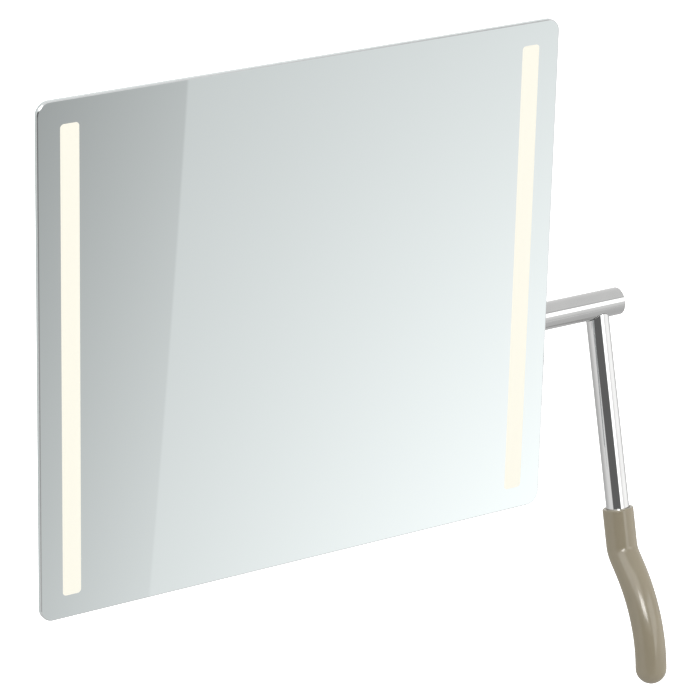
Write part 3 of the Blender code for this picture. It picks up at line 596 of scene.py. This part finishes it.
def skin(shape, rings, closed=False, caps=True, materials=None):
    """Faces over rings of equally many points. materials gives an index for each step."""
    loops = [[shape.verts.new(point) for point in ring] for ring in rings]
    steps = list(zip(loops, loops[1:]))
    if closed:
        steps.append((loops[-1], loops[0]))
    elif caps:
        for end in (loops[0], loops[-1]):
            shape.faces.new(end)
    for (low, high), index in zip(steps, materials or [0] * len(steps)):
        for i in range(len(low)):
            j = (i + 1) % len(low)
            shape.faces.new((low[i], low[j], high[j], high[i])).material_index = index
    return loops


def solid(rings, closed=False):
    shape = bmesh.new()
    skin(shape, rings, closed)
    return shape


def circle(radius, height, segments=96):
    return [
        (radius * cos(2 * pi * i / segments), radius * sin(2 * pi * i / segments), height)
        for i in range(segments)
    ]


def rounded_ring(width, height, radius, y, centre=(0.0, 0.0), steps=16):
    """A rectangle with round corners, across the y axis."""
    ring = []
    for quarter in range(4):
        side_x = 1 if quarter in (0, 3) else -1
        side_z = 1 if quarter in (0, 1) else -1
        corner_x = centre[0] + side_x * (width / 2 - radius)
        corner_z = centre[1] + side_z * (height / 2 - radius)
        for step in range(steps + 1):
            angle = (quarter + step / steps) * pi / 2
            ring.append((corner_x + radius * cos(angle), y, corner_z + radius * sin(angle)))
    return ring


def fillet(corner, before, after, radius, steps=4):
    """Points on a round corner of a profile, from three (radius, height) points."""
    c, a, b = Vector(corner), Vector(before), Vector(after)
    u, v = (a - c).normalized(), (b - c).normalized()
    half = u.angle(v) / 2
    reach = radius / tan(half)
    centre = c + (u + v).normalized() * (radius / sin(half))
    start, end = c + u * reach - centre, c + v * reach - centre
    mixed = [start.lerp(end, i / steps) for i in range(steps + 1)]
    return [tuple(centre + offset.normalized() * radius) for offset in mixed]


def rounded_profile(points, radii, steps=4):
    """A closed profile with each corner rounded by its own radius; 0 keeps a corner sharp."""
    result = []
    count = len(points)
    for i, (point, radius) in enumerate(zip(points, radii)):
        if radius:
            result += fillet(point, points[i - 1], points[(i + 1) % count], radius, steps)
        else:
            result.append(point)
    return result


def turned(profile, segments=96, closed=True):
    return solid([circle(radius, height, segments) for radius, height in profile], closed)


# ---- mirror pane


def window_ring(side, y):
    """The outline of a lit window, in front of its diffuser."""
    _, height, centre = face_of(glass_low, glass_high)
    place = (middle(f"diffuser_{side}").x, centre[1])
    return rounded_ring(WINDOW_WIDTH, height - 2 * WINDOW_INSET, WINDOW_CORNER, y, place, 8)


def build_pane():
    """One body: silvered front with two frosted windows, arrises, polished edge and painted back."""
    width, height, centre = face_of(glass_low, glass_high)
    front, thick = glass_low.y, glass_high.y - glass_low.y
    arris, arris_depth, land, rear_arris = 0.0012, 0.00074, 0.00006, 0.0009
    profile = [  # inset, depth behind the front face
        (arris, 0.0),
        (land, arris_depth),
        (0.0, arris_depth + 2 * land),
        (0.0, thick - rear_arris),
        (rear_arris, thick),
    ]
    rings = []
    for inset, depth in profile:
        size = (width - 2 * inset, height - 2 * inset, PANE_CORNER - inset)
        rings.append(rounded_ring(*size, front + depth, centre))
    silver, window, edge, chamfer, paint = range(5)
    shape = bmesh.new()
    loops = skin(shape, rings, caps=False, materials=[chamfer, chamfer, edge, chamfer])
    shape.faces.new(loops[-1]).material_index = paint
    outlines = [list(loops[0])]
    for side, _ in SIDES:
        outlines.append([shape.verts.new(point) for point in window_ring(side, front)])
        shape.faces.new(outlines[-1]).material_index = window
    edges = [shape.edges.get(pair) for verts in outlines for pair in zip(verts, verts[1:] + verts[:1])]
    filled = bmesh.ops.triangle_fill(shape, use_beauty=True, use_dissolve=False, edges=edges)
    for face in filled["geom"]:
        if isinstance(face, bmesh.types.BMFace):
            face.material_index = silver
    names = ["silvering", "window", "edge", "arris", "back_paint"]
    shell("mirror_glass", shape, smooth=15.0, name="pane", materials=names)


# ---- pivot tube, lever and grip


def build_tube():
    inner, half = TUBE_RADIUS - TUBE_WALL, (tube_high.x - tube_low.x) / 2
    outer_edge, inner_edge = 0.0007, 0.0002
    profile = [(inner, -half), (TUBE_RADIUS, -half), (TUBE_RADIUS, half), (inner, half)]
    profile = rounded_profile(profile, (inner_edge, outer_edge, outer_edge, inner_edge), 5)
    along_x = at_axis(middle("pivot_tube").x) @ Matrix.Rotation(pi / 2, 4, "Y")
    shell("pivot_tube", turned(profile, 128), smooth=40.0, place=along_x, name="tube")


def build_plugs():
    """Turned plugs with a small chamfer, a shade below the tube's ends."""
    radius, chamfer, depth = TUBE_RADIUS - TUBE_WALL - GAP, 0.0007, 0.012
    profile = [(0.0011, 0.0), (radius - chamfer, 0.0), (radius - 0.0002, -0.0002)]
    profile += [(radius, -chamfer), (radius, -depth)]
    for side, way in SIDES:
        node = f"tube_plug_{side}"
        low, high = box(node)
        turn = at_axis(high.x if way > 0 else low.x) @ Matrix.Rotation(way * pi / 2, 4, "Y")
        shape = turned(profile, closed=False)
        shell(node, shape, smooth=40.0, place=turn, name=f"plug_{side}", materials=["turned_chrome"])


def build_lever_tube():
    """Coped to the pivot tube with a fine break of the coped edge."""
    segments = 128
    edge, end, straight_from = 0.00035, -0.2347, -0.03
    cope = TUBE_RADIUS + GAP
    inner = LEVER_RADIUS - TUBE_WALL

    def coped(radius, drop):
        return [(x, y, -sqrt(cope * cope - y * y) - drop) for x, y, _ in circle(radius, 0.0, segments)]

    rings = [
        coped(inner, 0.0),
        coped(LEVER_RADIUS - edge, 0.0),
        coped(LEVER_RADIUS - edge * 0.3, edge * 0.3),
        coped(LEVER_RADIUS, edge),
    ]
    straight = [straight_from + (end - straight_from) * i / 4 for i in range(5)]
    rings += [circle(LEVER_RADIUS, height, segments) for height in straight]
    rings += [circle(inner, end, segments)]
    shell("lever_tube", solid(rings, closed=True), smooth=40.0, place=ALONG_LEVER, name="lever")


def walk(start, steps):
    """Stations (y, z, lean) along lines and arcs in the lever's plane; lean 0 heads down."""
    y, z, lean = 0.0, -start, 0.0
    stations = [(y, z, lean)]
    for kind, amount, radius, count in steps:
        for _ in range(count):
            if kind == "line":
                y -= amount / count * sin(lean)
                z -= amount / count * cos(lean)
            else:
                turn = amount / count
                signed = radius if turn > 0 else -radius
                y += signed * (cos(lean + turn) - cos(lean))
                z -= signed * (sin(lean + turn) - sin(lean))
                lean += turn
            stations.append((y, z, lean))
    return stations


def station_ring(station, radius, ahead=0.0, segments=96):
    y, z, lean = station
    y -= ahead * sin(lean)
    z -= ahead * cos(lean)
    around = circle(radius, 0.0, segments)
    return [(side, y - out * cos(lean), z + out * sin(lean)) for side, out, _ in around]


def build_grip():
    """Bent grip: straight sleeve with a lip and a socket, tight bend, long curve back, round end."""
    start, socket_depth, radius, lip = 0.223, 0.012, 0.017, 0.0015
    bend, bend_radius, bend_at, slant = radians(30), 0.027, 0.271, 0.022
    curve, curve_radius = radians(39.7), 0.162
    tangent = bend_radius * tan(bend / 2)
    steps = [
        ("line", bend_at - start - tangent, 0, 6),
        ("arc", bend, bend_radius, 20),
        ("line", slant - tangent, 0, 4),
        ("arc", -curve, curve_radius, 48),
    ]
    path = walk(start, steps)
    socket, chamfer, core = LEVER_RADIUS + GAP, 0.0007, 0.006
    top = path[0]
    floor = (0.0, -start - socket_depth, 0.0)
    rings = [station_ring(floor, core), station_ring(floor, socket), station_ring(top, socket, chamfer)]
    rings += [station_ring(top, socket + 0.0002, 0.0002), station_ring(top, socket + chamfer)]
    rings += [station_ring(top, radius - lip)]
    for i in range(1, 7):
        angle = i / 6 * pi / 2
        rings.append(station_ring(top, radius - lip + lip * sin(angle), lip * (1 - cos(angle))))
    rings += [station_ring(station, radius) for station in path[1:]]
    for i in range(1, 16):
        angle = i / 16 * pi / 2
        rings.append(station_ring(path[-1], radius * cos(angle), radius * sin(angle)))
    shape = bmesh.new()
    loops = skin(shape, rings, caps=False)
    shape.faces.new(loops[0])
    y, z, lean = path[-1]
    pole = shape.verts.new((0.0, y - radius * sin(lean), z - radius * cos(lean)))
    last = loops[-1]
    for before, after in zip(last, last[1:] + last[:1]):
        shape.faces.new((before, after, pole))
    shell("grip", shape, smooth=50.0, place=ALONG_LEVER, name="grip_sleeve")


# ---- pierced, dished and cut shapes

SCREW_HEAD_WAY = {"viewer": Matrix.Rotation(pi / 2, 4, "X"), "wall": Matrix.Rotation(-pi / 2, 4, "X")}


def drilled(shape, holes):
    """The first shape less the second."""
    parts = []
    for label, part in (("body", shape), ("cutter", holes)):
        bmesh.ops.recalc_face_normals(part, faces=part.faces)
        mesh = bpy.data.meshes.new(label)
        part.to_mesh(mesh)
        part.free()
        parts.append(bpy.data.objects.new(label, mesh))
        bpy.context.scene.collection.objects.link(parts[-1])
    cut = parts[0].modifiers.new("cut", "BOOLEAN")
    cut.operation = "DIFFERENCE"
    cut.solver = "EXACT"
    cut.object = parts[1]
    result = bmesh.new()
    result.from_object(parts[0], bpy.context.evaluated_depsgraph_get())
    for part in parts:
        mesh = part.data
        bpy.data.objects.remove(part)
        bpy.data.meshes.remove(mesh)
    return result


def add_bar(shape, start, end, radius, segments=40):
    start, end = Vector(start), Vector(end)
    turn = (end - start).to_track_quat("Z", "Y")
    around = [turn @ Vector(point) for point in circle(radius, 0.0, segments)]
    skin(shape, [[centre + offset for offset in around] for centre in (start, end)])


def bar(start, end, radius, segments=40):
    shape = bmesh.new()
    add_bar(shape, start, end, radius, segments)
    return shape


def prism(outline, width):
    """An outline of (y, z) pairs, as thick as width along x."""
    return solid([[(side * width / 2, y, z) for y, z in outline] for side in (-1, 1)])


def arc(radius, start, end, steps=48):
    """Points (y, z) round the tube's axis. Angle 0 points to +y, a quarter turn to +z."""
    angles = [start + (end - start) * i / steps for i in range(steps + 1)]
    return [(radius * cos(angle), radius * sin(angle)) for angle in angles]


def half_bore(radius, side):
    """Half of a round bore, on the +y or the -y side, stopping half a gap short of the split."""
    reach = acos(GAP / 2 / radius)
    return arc(radius, reach, -reach) if side > 0 else arc(radius, pi + reach, pi - reach)


def dished(width, height, corner_at, chain, radii, centre):
    """A round-cornered dish. chain gives (inset, y) points from the middle of one face to the middle of
    the other; the corners between them are rounded by radii."""
    rings = []
    for before, corner, after, radius in zip(chain, chain[1:], chain[2:], radii):
        for inset, y in fillet(corner, before, after, radius, 5):
            size = (width - 2 * inset, height - 2 * inset, corner_at(inset))
            rings.append(rounded_ring(*size, y, centre, 12))
    return solid(rings)


# ---- wall plate, bearings and stops


def build_wall_plate():
    """Dished plate with a cable hole, four slots for wall screws and a hole for each long screw."""
    low, high = box("wall_plate")
    thick, deep, far = 0.003, 0.012, 0.05
    slot_x, slot_z, slot_width, slot_height = 0.090, 0.048, 0.018, 0.008
    y = high.y
    outside, inside = y + 0.01, y - 0.008  # how far the cutters reach
    chain = [(far, y), (0, y), (0, y - deep), (thick, y - deep), (thick, y - thick), (far, y - thick)]
    size = (high.x - low.x, high.z - low.z)
    shape = dished(*size, lambda i: 0.010 - i, chain, (0.0012, 0.0008, 0.0008, 0.0015), (0, AXIS_Z))
    holes = bmesh.new()
    cable = middle("wall_grommet")
    add_bar(holes, (0, outside, cable.z), (0, inside, cable.z), 0.0113, 64)
    for x in (-slot_x, slot_x):
        for z in (AXIS_Z - slot_z, AXIS_Z + slot_z):
            slot = (slot_width, slot_height, 0.0039)
            skin(holes, [rounded_ring(*slot, level, (x, z), 10) for level in (outside, inside)])
    for node in (name for name in NODES if name.startswith("cap_screw")):
        x, _, z = middle(node)
        add_bar(holes, (x, outside, z), (x, inside, z), 0.0033)
    shell("wall_plate", drilled(shape, holes), 0.0003)


def build_grommet():
    bore, neck, flange = 0.006, 0.0107, 0.0135
    front, back = 0.0033, 0.0055
    profile = [(bore, GAP), (neck, GAP), (neck, front), (flange, front), (flange, back), (bore, back)]
    profile = rounded_profile(profile, (0.0008, 0.0003, 0.0002, 0.0004, 0.0012, 0.0009), 4)
    place = Matrix.Translation((0, box("wall_plate")[1].y, middle("wall_grommet").z))
    shell("wall_grommet", turned(profile, 72), smooth=40.0, place=place @ SCREW_HEAD_WAY["viewer"])


def clamp_halves(halves, width, x, screw_z, drill, reach):
    """Both halves of a split clamp round the tube, from (node, outline), drilled for two screws. reach
    is how far the drill goes from the tube's axis, towards the viewer and towards the wall."""
    for node, outline in halves:
        holes = bmesh.new()
        for z in (-screw_z, screw_z):
            add_bar(holes, (0, -reach[0], z), (0, reach[1], z), drill)
        shell(node, drilled(prism(outline, width), holes), 0.0009, place=at_axis(x))


def build_bearing(side):
    base, cap = f"bearing_base_{side}", f"bearing_cap_{side}"
    low, high = box(base)
    x, width, half = middle(base).x, high.x - low.x, (high.z - low.z) / 2
    split, bore, ear, crown = GAP / 2, 0.018 + GAP, 0.010, 0.024
    seat = high.y - AXIS_Y
    screw_z = middle(f"cap_screw_{side}_upper").z - AXIS_Z
    outline = [(seat, -half), (seat, half), (split, half)] + half_bore(bore, 1) + [(split, -half)]
    arch = pi - acos(ear / crown)
    cap_outline = [(-split, half), (-ear, half)] + arc(crown, arch, 2 * pi - arch)
    cap_outline += [(-ear, -half), (-split, -half)] + half_bore(bore, -1)
    halves = ((base, outline), (cap, cap_outline))
    clamp_halves(halves, width, x, screw_z, 0.003 + GAP, (0.03, 0.05))
    for part, way in (("rear", 1), ("front", -1)):
        node = f"bush_{part}_{side}"
        ring = half_bore(0.018, way) + half_bore(TUBE_RADIUS + GAP, way)[::-1]
        shell(node, prism(ring, width - 2 * GAP), 0.0004, place=at_axis(x))


def build_stop():
    low, high = box("stop_fork")
    prong = 0.003
    seat, tip, bottom, top = high.y, low.y, low.z, high.z
    outline = [(seat, bottom), (seat, top), (tip, top), (tip, top - prong), (seat - prong, top - prong)]
    outline += [(seat - prong, bottom + prong), (tip, bottom + prong), (tip, bottom)]
    place = Matrix.Translation((middle("stop_fork").x, 0, 0))
    shell("stop_fork", prism(outline, high.x - low.x), 0.0005, place=place)
    for node in ("rest_bumper", "tilt_bumper"):
        low, high = box(node)
        block = [(low.y, low.z), (low.y, high.z), (high.y, high.z), (high.y, low.z)]
        place = Matrix.Translation((middle(node).x, 0, 0))
        shell(node, prism(block, high.x - low.x), 0.0009, place=place)


# ---- collars, saddles and screws


def build_collars():
    inner, radius = TUBE_RADIUS + GAP, 0.022
    for node in ("thrust_collar_right", "stop_collar_left"):
        low, high = box(node)
        half = (high.x - low.x) / 2
        if node.startswith("thrust"):
            profile = [(inner, -half), (radius, -half), (radius, half), (inner, half)]
            shape = turned(rounded_profile(profile, (0.0003, 0.0009, 0.0009, 0.0003), 4), 96)
            bmesh.ops.rotate(shape, verts=shape.verts, matrix=Matrix.Rotation(pi / 2, 3, "Y"))
            holes = bar((0, 0, -0.0145), (0, 0, -0.03), 0.003)
            bevel = 0.0
        else:
            lug, reach = 0.004, high.y - AXIS_Y
            root = asin(lug / radius)
            outline = arc(radius, root, 2 * pi - root, 96) + [(reach, -lug), (reach, lug)]
            shape = prism(outline, 2 * half)
            holes = bar((-0.02, 0, 0), (0.02, 0, 0), inner, 96)
            add_bar(holes, (0, 0, -0.0147), (0, 0, -0.03), 0.003)
            bevel = 0.0006
        shell(node, drilled(shape, holes), bevel, 40.0, at_axis(middle(node).x))


def build_saddle(side):
    saddle, strap = f"tube_saddle_{side}", f"tube_strap_{side}"
    low, high = box(saddle)
    x, width, half = middle(saddle).x, high.x - low.x, (high.z - low.z) / 2
    split, bore, ear, crown = GAP / 2, TUBE_RADIUS + GAP, 0.008, 0.0195
    seat = low.y - AXIS_Y
    screw_z = middle(f"strap_screw_{side}_upper").z - AXIS_Z
    arch = acos(ear / crown)
    block = [(-split, half), (seat, half), (seat, -half), (-split, -half)] + half_bore(bore, -1)
    band = [(split, -half), (ear, -half)] + arc(crown, -arch, arch)
    band += [(ear, half), (split, half)] + half_bore(bore, 1)
    clamp_halves(((saddle, block), (strap, band)), width, x, screw_z, 0.0025 + GAP, (0.05, 0.03))


def hexagon(apothem, height, segments, limit=1.0):
    """A hexagon as a ring of points, its corners cut off beyond limit."""
    ring = []
    for i in range(segments):
        angle = 2 * pi * i / segments
        reach = min(apothem / cos((angle + pi / 6) % (pi / 3) - pi / 6), limit)
        ring.append((reach * cos(angle), reach * sin(angle), height))
    return ring


def ribbed(radius, height, segments, depth):
    """A circle with every other point drawn in by depth."""
    rings = circle(radius, height, segments), circle(radius - depth, height, segments)
    return [rings[i % 2][i] for i in range(segments)]


def screw(radius, height, shank, length, socket, pan=False, segments=96):
    """A cap screw with a knurled head, or a pan-head screw, its head up from height 0."""
    edge, knurl = 0.12 * radius, 0.00016
    rings = [
        hexagon(socket, height * 0.4, segments),
        hexagon(socket, height - 0.0002, segments),
        hexagon(socket + 0.0002, height, segments),
    ]
    if pan:
        dome = ((0.62, 1.0), (0.8, 0.92), (0.92, 0.74), (0.98, 0.5), (1.0, 0.2), (1.0, 0.0))
        rings += [circle(radius * reach, height * up, segments) for reach, up in dome]
    else:
        rings += [
            circle(radius - edge, height, segments),
            circle(radius - edge * 0.4, height - edge * 0.3, segments),
            ribbed(radius, height - edge, segments, knurl),
            ribbed(radius, edge, segments, knurl),
            circle(radius - edge * 0.5, 0.0, segments),
        ]
    rings += [
        circle(shank, 0.0, segments),
        circle(shank, -length + edge, segments),
        circle(shank - edge, -length, segments),
    ]
    return solid(rings)


def build_screws():
    kinds = {  # head radius, head height, shank radius, socket, the way the head faces, pan head
        "cap_screw": (0.005, 0.006, 0.003, 0.0025, "viewer", False),
        "strap_screw": (0.00425, 0.005, 0.0025, 0.002, "wall", False),
        "cover_screw": (0.0038, 0.0024, 0.002, 0.0012, "wall", True),
        "driver_screw": (0.0038, 0.0024, 0.002, 0.0012, "wall", True),
    }
    for kind, (radius, height, shank, socket, way, pan) in kinds.items():
        for node in sorted(name for name in NODES if name.startswith(kind)):
            low, high = box(node)
            seat = low.y + height if way == "viewer" else high.y - height
            length = high.y - low.y - height
            place = Matrix.Translation((middle(node).x, seat, middle(node).z)) @ SCREW_HEAD_WAY[way]
            shell(node, screw(radius, height, shank, length, socket, pan), smooth=24.0, place=place)
    for side, _ in SIDES:
        node = f"collar_screw_{side}"
        low, high = box(node)
        radius, length, socket, edge, cone = 0.0027, high.z - low.z, 0.0013, 0.0003, 0.001
        rings = [hexagon(socket, height, 48) for height in (-length * 0.4, 0.0)]
        body = [(radius - edge, 0.0), (radius, -edge), (radius, cone - length), (radius * 0.6, -length)]
        rings += [circle(reach, height, 48) for reach, height in body]
        place = Matrix.Translation((middle(node).x, middle(node).y, low.z)) @ Matrix.Rotation(pi, 4, "X")
        shell(node, solid(rings), smooth=24.0, place=place)


# ---- tray, cover and lighting parts


def lead_height(side):
    """y of the lead where it lies low along the tray, and its z."""
    return box(f"lamp_lead_{side}")[0].y + LEAD_RADIUS, middle(f"lamp_lead_{side}").z


def build_tray():
    low, high = box("carrier_tray")
    far = 0.05
    y, rear = low.y, high.y
    width, height, centre = face_of(low, high)
    chain = [(far, y), (0, y), (0, rear), (SHEET, rear), (SHEET, y + SHEET), (far, y + SHEET)]
    shape = dished(width, height, lambda i: 0.006 - i, chain, (0.0014, 0.0003, 0.0003, 0.0016), centre)
    holes = bmesh.new()
    for node in NODES:
        if node.startswith(("strap_screw", "cover_screw", "driver_screw")):
            x, _, z = middle(node)
            radius = 0.0028 if node.startswith("strap") else SMALL_SCREW_HOLE
            add_bar(holes, (x, y - 0.004, z), (x, y + 0.006, z), radius)
    for side, way in SIDES:
        level, z = lead_height(side)
        wall = high.x if way > 0 else low.x
        add_bar(holes, (wall - 0.006, level, z), (wall + 0.006, level, z), LEAD_HOLE, 32)
    shell("carrier_tray", drilled(shape, holes), 0.0002)


def build_film():
    low, high = box("shatter_film")
    width, height, centre = face_of(low, high)
    windows = bmesh.new()
    for side, _ in SIDES:
        skin(windows, [window_ring(side, y) for y in (low.y - 0.01, high.y + 0.01)])
    sheet = solid([rounded_ring(width, height, 0.010, y, centre) for y in (low.y, high.y)])
    shell("shatter_film", drilled(sheet, windows))


def build_channels():
    """Extruded channels, open at both ends, with a ledge that carries the diffuser."""
    for side, way in SIDES:
        node = f"led_channel_{side}"
        low, high = box(node)
        half, front, back = (high.x - low.x) / 2, low.y, high.y
        mouth, ledge, ledge_y, floor = 0.0133, 0.0115, front + 0.0035, back - SHEET
        right_half = [(half, back), (half, front), (mouth, front), (mouth, ledge_y)]
        right_half += [(ledge, ledge_y), (ledge, floor)]
        left_half = [(-x, y) for x, y in right_half[::-1]]
        centre = middle(node).x
        shape = solid([[(centre + x, y, z) for x, y in right_half + left_half] for z in (low.z, high.z)])
        y, z = lead_height(side)
        start, end = centre - way * (half + 0.002), centre - way * (ledge - 0.002)
        shell(node, drilled(shape, bar((start, y, z), (end, y, z), LEAD_HOLE, 32)), 0.0003)


def build_leads():
    """Leads that leave the driver's case at one depth and step down to the tray in a smooth bend."""
    straight, count, segments = 0.012, 60, 24
    for side, way in SIDES:
        node = f"lamp_lead_{side}"
        low, high = box(node)
        radius = (high.z - low.z) / 2
        start, end = (high.x, low.x) if way < 0 else (low.x, high.x)
        y_start, y_end, z = high.y - radius, low.y + radius, middle(node).z
        drop_from = abs(start) + straight
        drop = box("rear_cover")[1].x - 2 * straight - drop_from
        rings = []
        for i in range(count + 1):
            x = start + (end - start) * i / count
            share = min(max((abs(x) - drop_from) / drop, 0.0), 1.0)
            y = y_start + (y_end - y_start) * share * share * (3 - 2 * share)
            slope = (y_end - y_start) * 6 * share * (1 - share) / drop * way
            turn = -atan2(slope, 1.0)
            around = circle(radius, 0.0, segments)
            rings.append([(x + out * sin(turn), y + out * cos(turn), z + up) for out, up, _ in around])
        shell(node, solid(rings), smooth=50.0)


def build_cover():
    """Moulded cover with a flange, round shoulders, a row of vents and a cable entry."""
    low, high = box("rear_cover")
    rim, wall, far = 0.012, 0.002, 0.05
    seat, top = low.y, high.y
    width, height, centre = face_of(low, high)
    chain = [(far, top - wall), (rim + wall, top - wall), (rim + wall, seat), (0, seat), (0, seat + wall)]
    chain += [(rim, seat + wall), (rim, top), (far, top)]

    def corner_at(inset):
        return 0.010 - inset if inset < rim / 2 else max(0.020 - inset, 0.002)

    radii = (0.0012, 0.0003, 0.0003, 0.0007, 0.0012, 0.0032)
    shape = dished(width, height, corner_at, chain, radii, centre)
    holes = bmesh.new()
    for number in range(1, 5):
        x, _, z = middle(f"cover_screw_{number}")
        add_bar(holes, (x, seat - 0.002, z), (x, seat + 0.006, z), SMALL_SCREW_HOLE)
    for side, way in SIDES:
        y, z = lead_height(side)
        x = high.x - rim if way > 0 else low.x + rim
        add_bar(holes, (x - 0.006, y, z), (x + 0.006, y, z), LEAD_HOLE, 32)
    gland = middle("cable_gland")
    bottom = low.z + rim
    add_bar(holes, (gland.x, gland.y, bottom - 0.004), (gland.x, gland.y, bottom + 0.006), 0.008, 64)
    vent_pitch, vent_width, vent_height = 0.009, 0.003, 0.040
    for i in range(-3, 4):
        place = (centre[0] + i * vent_pitch, centre[1])
        levels = (top - 0.007, top + 0.007)
        skin(holes, [rounded_ring(vent_width, vent_height, 0.00148, y, place, 6) for y in levels])
    shell("rear_cover", drilled(shape, holes), 0.0003)


def build_gland():
    """Cable gland: round neck in the wall, hexagon below it and a ribbed dome nut."""
    count = 96
    neck = [(0.004, 0.005), (0.0068, 0.005), (0.0074, 0.0044), (0.0074, -GAP)]
    flats = [(0.0100, -GAP, 0.0113), (0.0102, -0.0008, 0.0115)]
    flats += [(0.0102, -0.0072, 0.0115), (0.0098, -0.008, 0.0108)]
    dome = [(0.0088, -0.0178), (0.0078, -0.0196), (0.0065, -0.0207), (0.0056, -0.021), (0.0042, -0.021)]
    rings = [circle(radius, z, count) for radius, z in neck]
    rings += [hexagon(apothem, z, count, limit) for apothem, z, limit in flats]
    rings += [circle(0.0086, -0.0083, count)]
    rings += [ribbed(0.0095, z, count, 0.0005) for z in (-0.0092, -0.0165)]
    rings += [circle(radius, z, count) for radius, z in dome + [(0.004, -0.0208)]]
    place = middle("cable_gland")
    place.z = box("cable_gland")[1].z - 0.005
    shell("cable_gland", solid(rings, closed=True), smooth=24.0, place=Matrix.Translation(place))


def finish_carried(node):
    """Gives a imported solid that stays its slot's finish."""
    mesh = NODES[node].data
    material = FINISHES[SLOTS[node]].material
    if len(mesh.materials):
        for i in range(len(mesh.materials)):
            mesh.materials[i] = material
    else:
        mesh.materials.append(material)


# ---- assembly

bpy.context.scene.view_settings.view_transform = "Standard"
make_camera()
make_floor()
make_studio()

build_pane()
build_tube()
build_plugs()
build_lever_tube()
build_grip()
build_wall_plate()
build_grommet()
build_stop()
build_collars()
for side, _ in SIDES:
    build_bearing(side)
    build_saddle(side)
build_screws()
build_tray()
build_film()
build_channels()
build_leads()
build_cover()
build_gland()

CARRIED = ("bond_tape", "led_board", "diffuser", "led_driver", "terminal_block", "lever_s", "grip_core")
for name in sorted(NODES):
    if name.startswith(CARRIED):
        finish_carried(name)
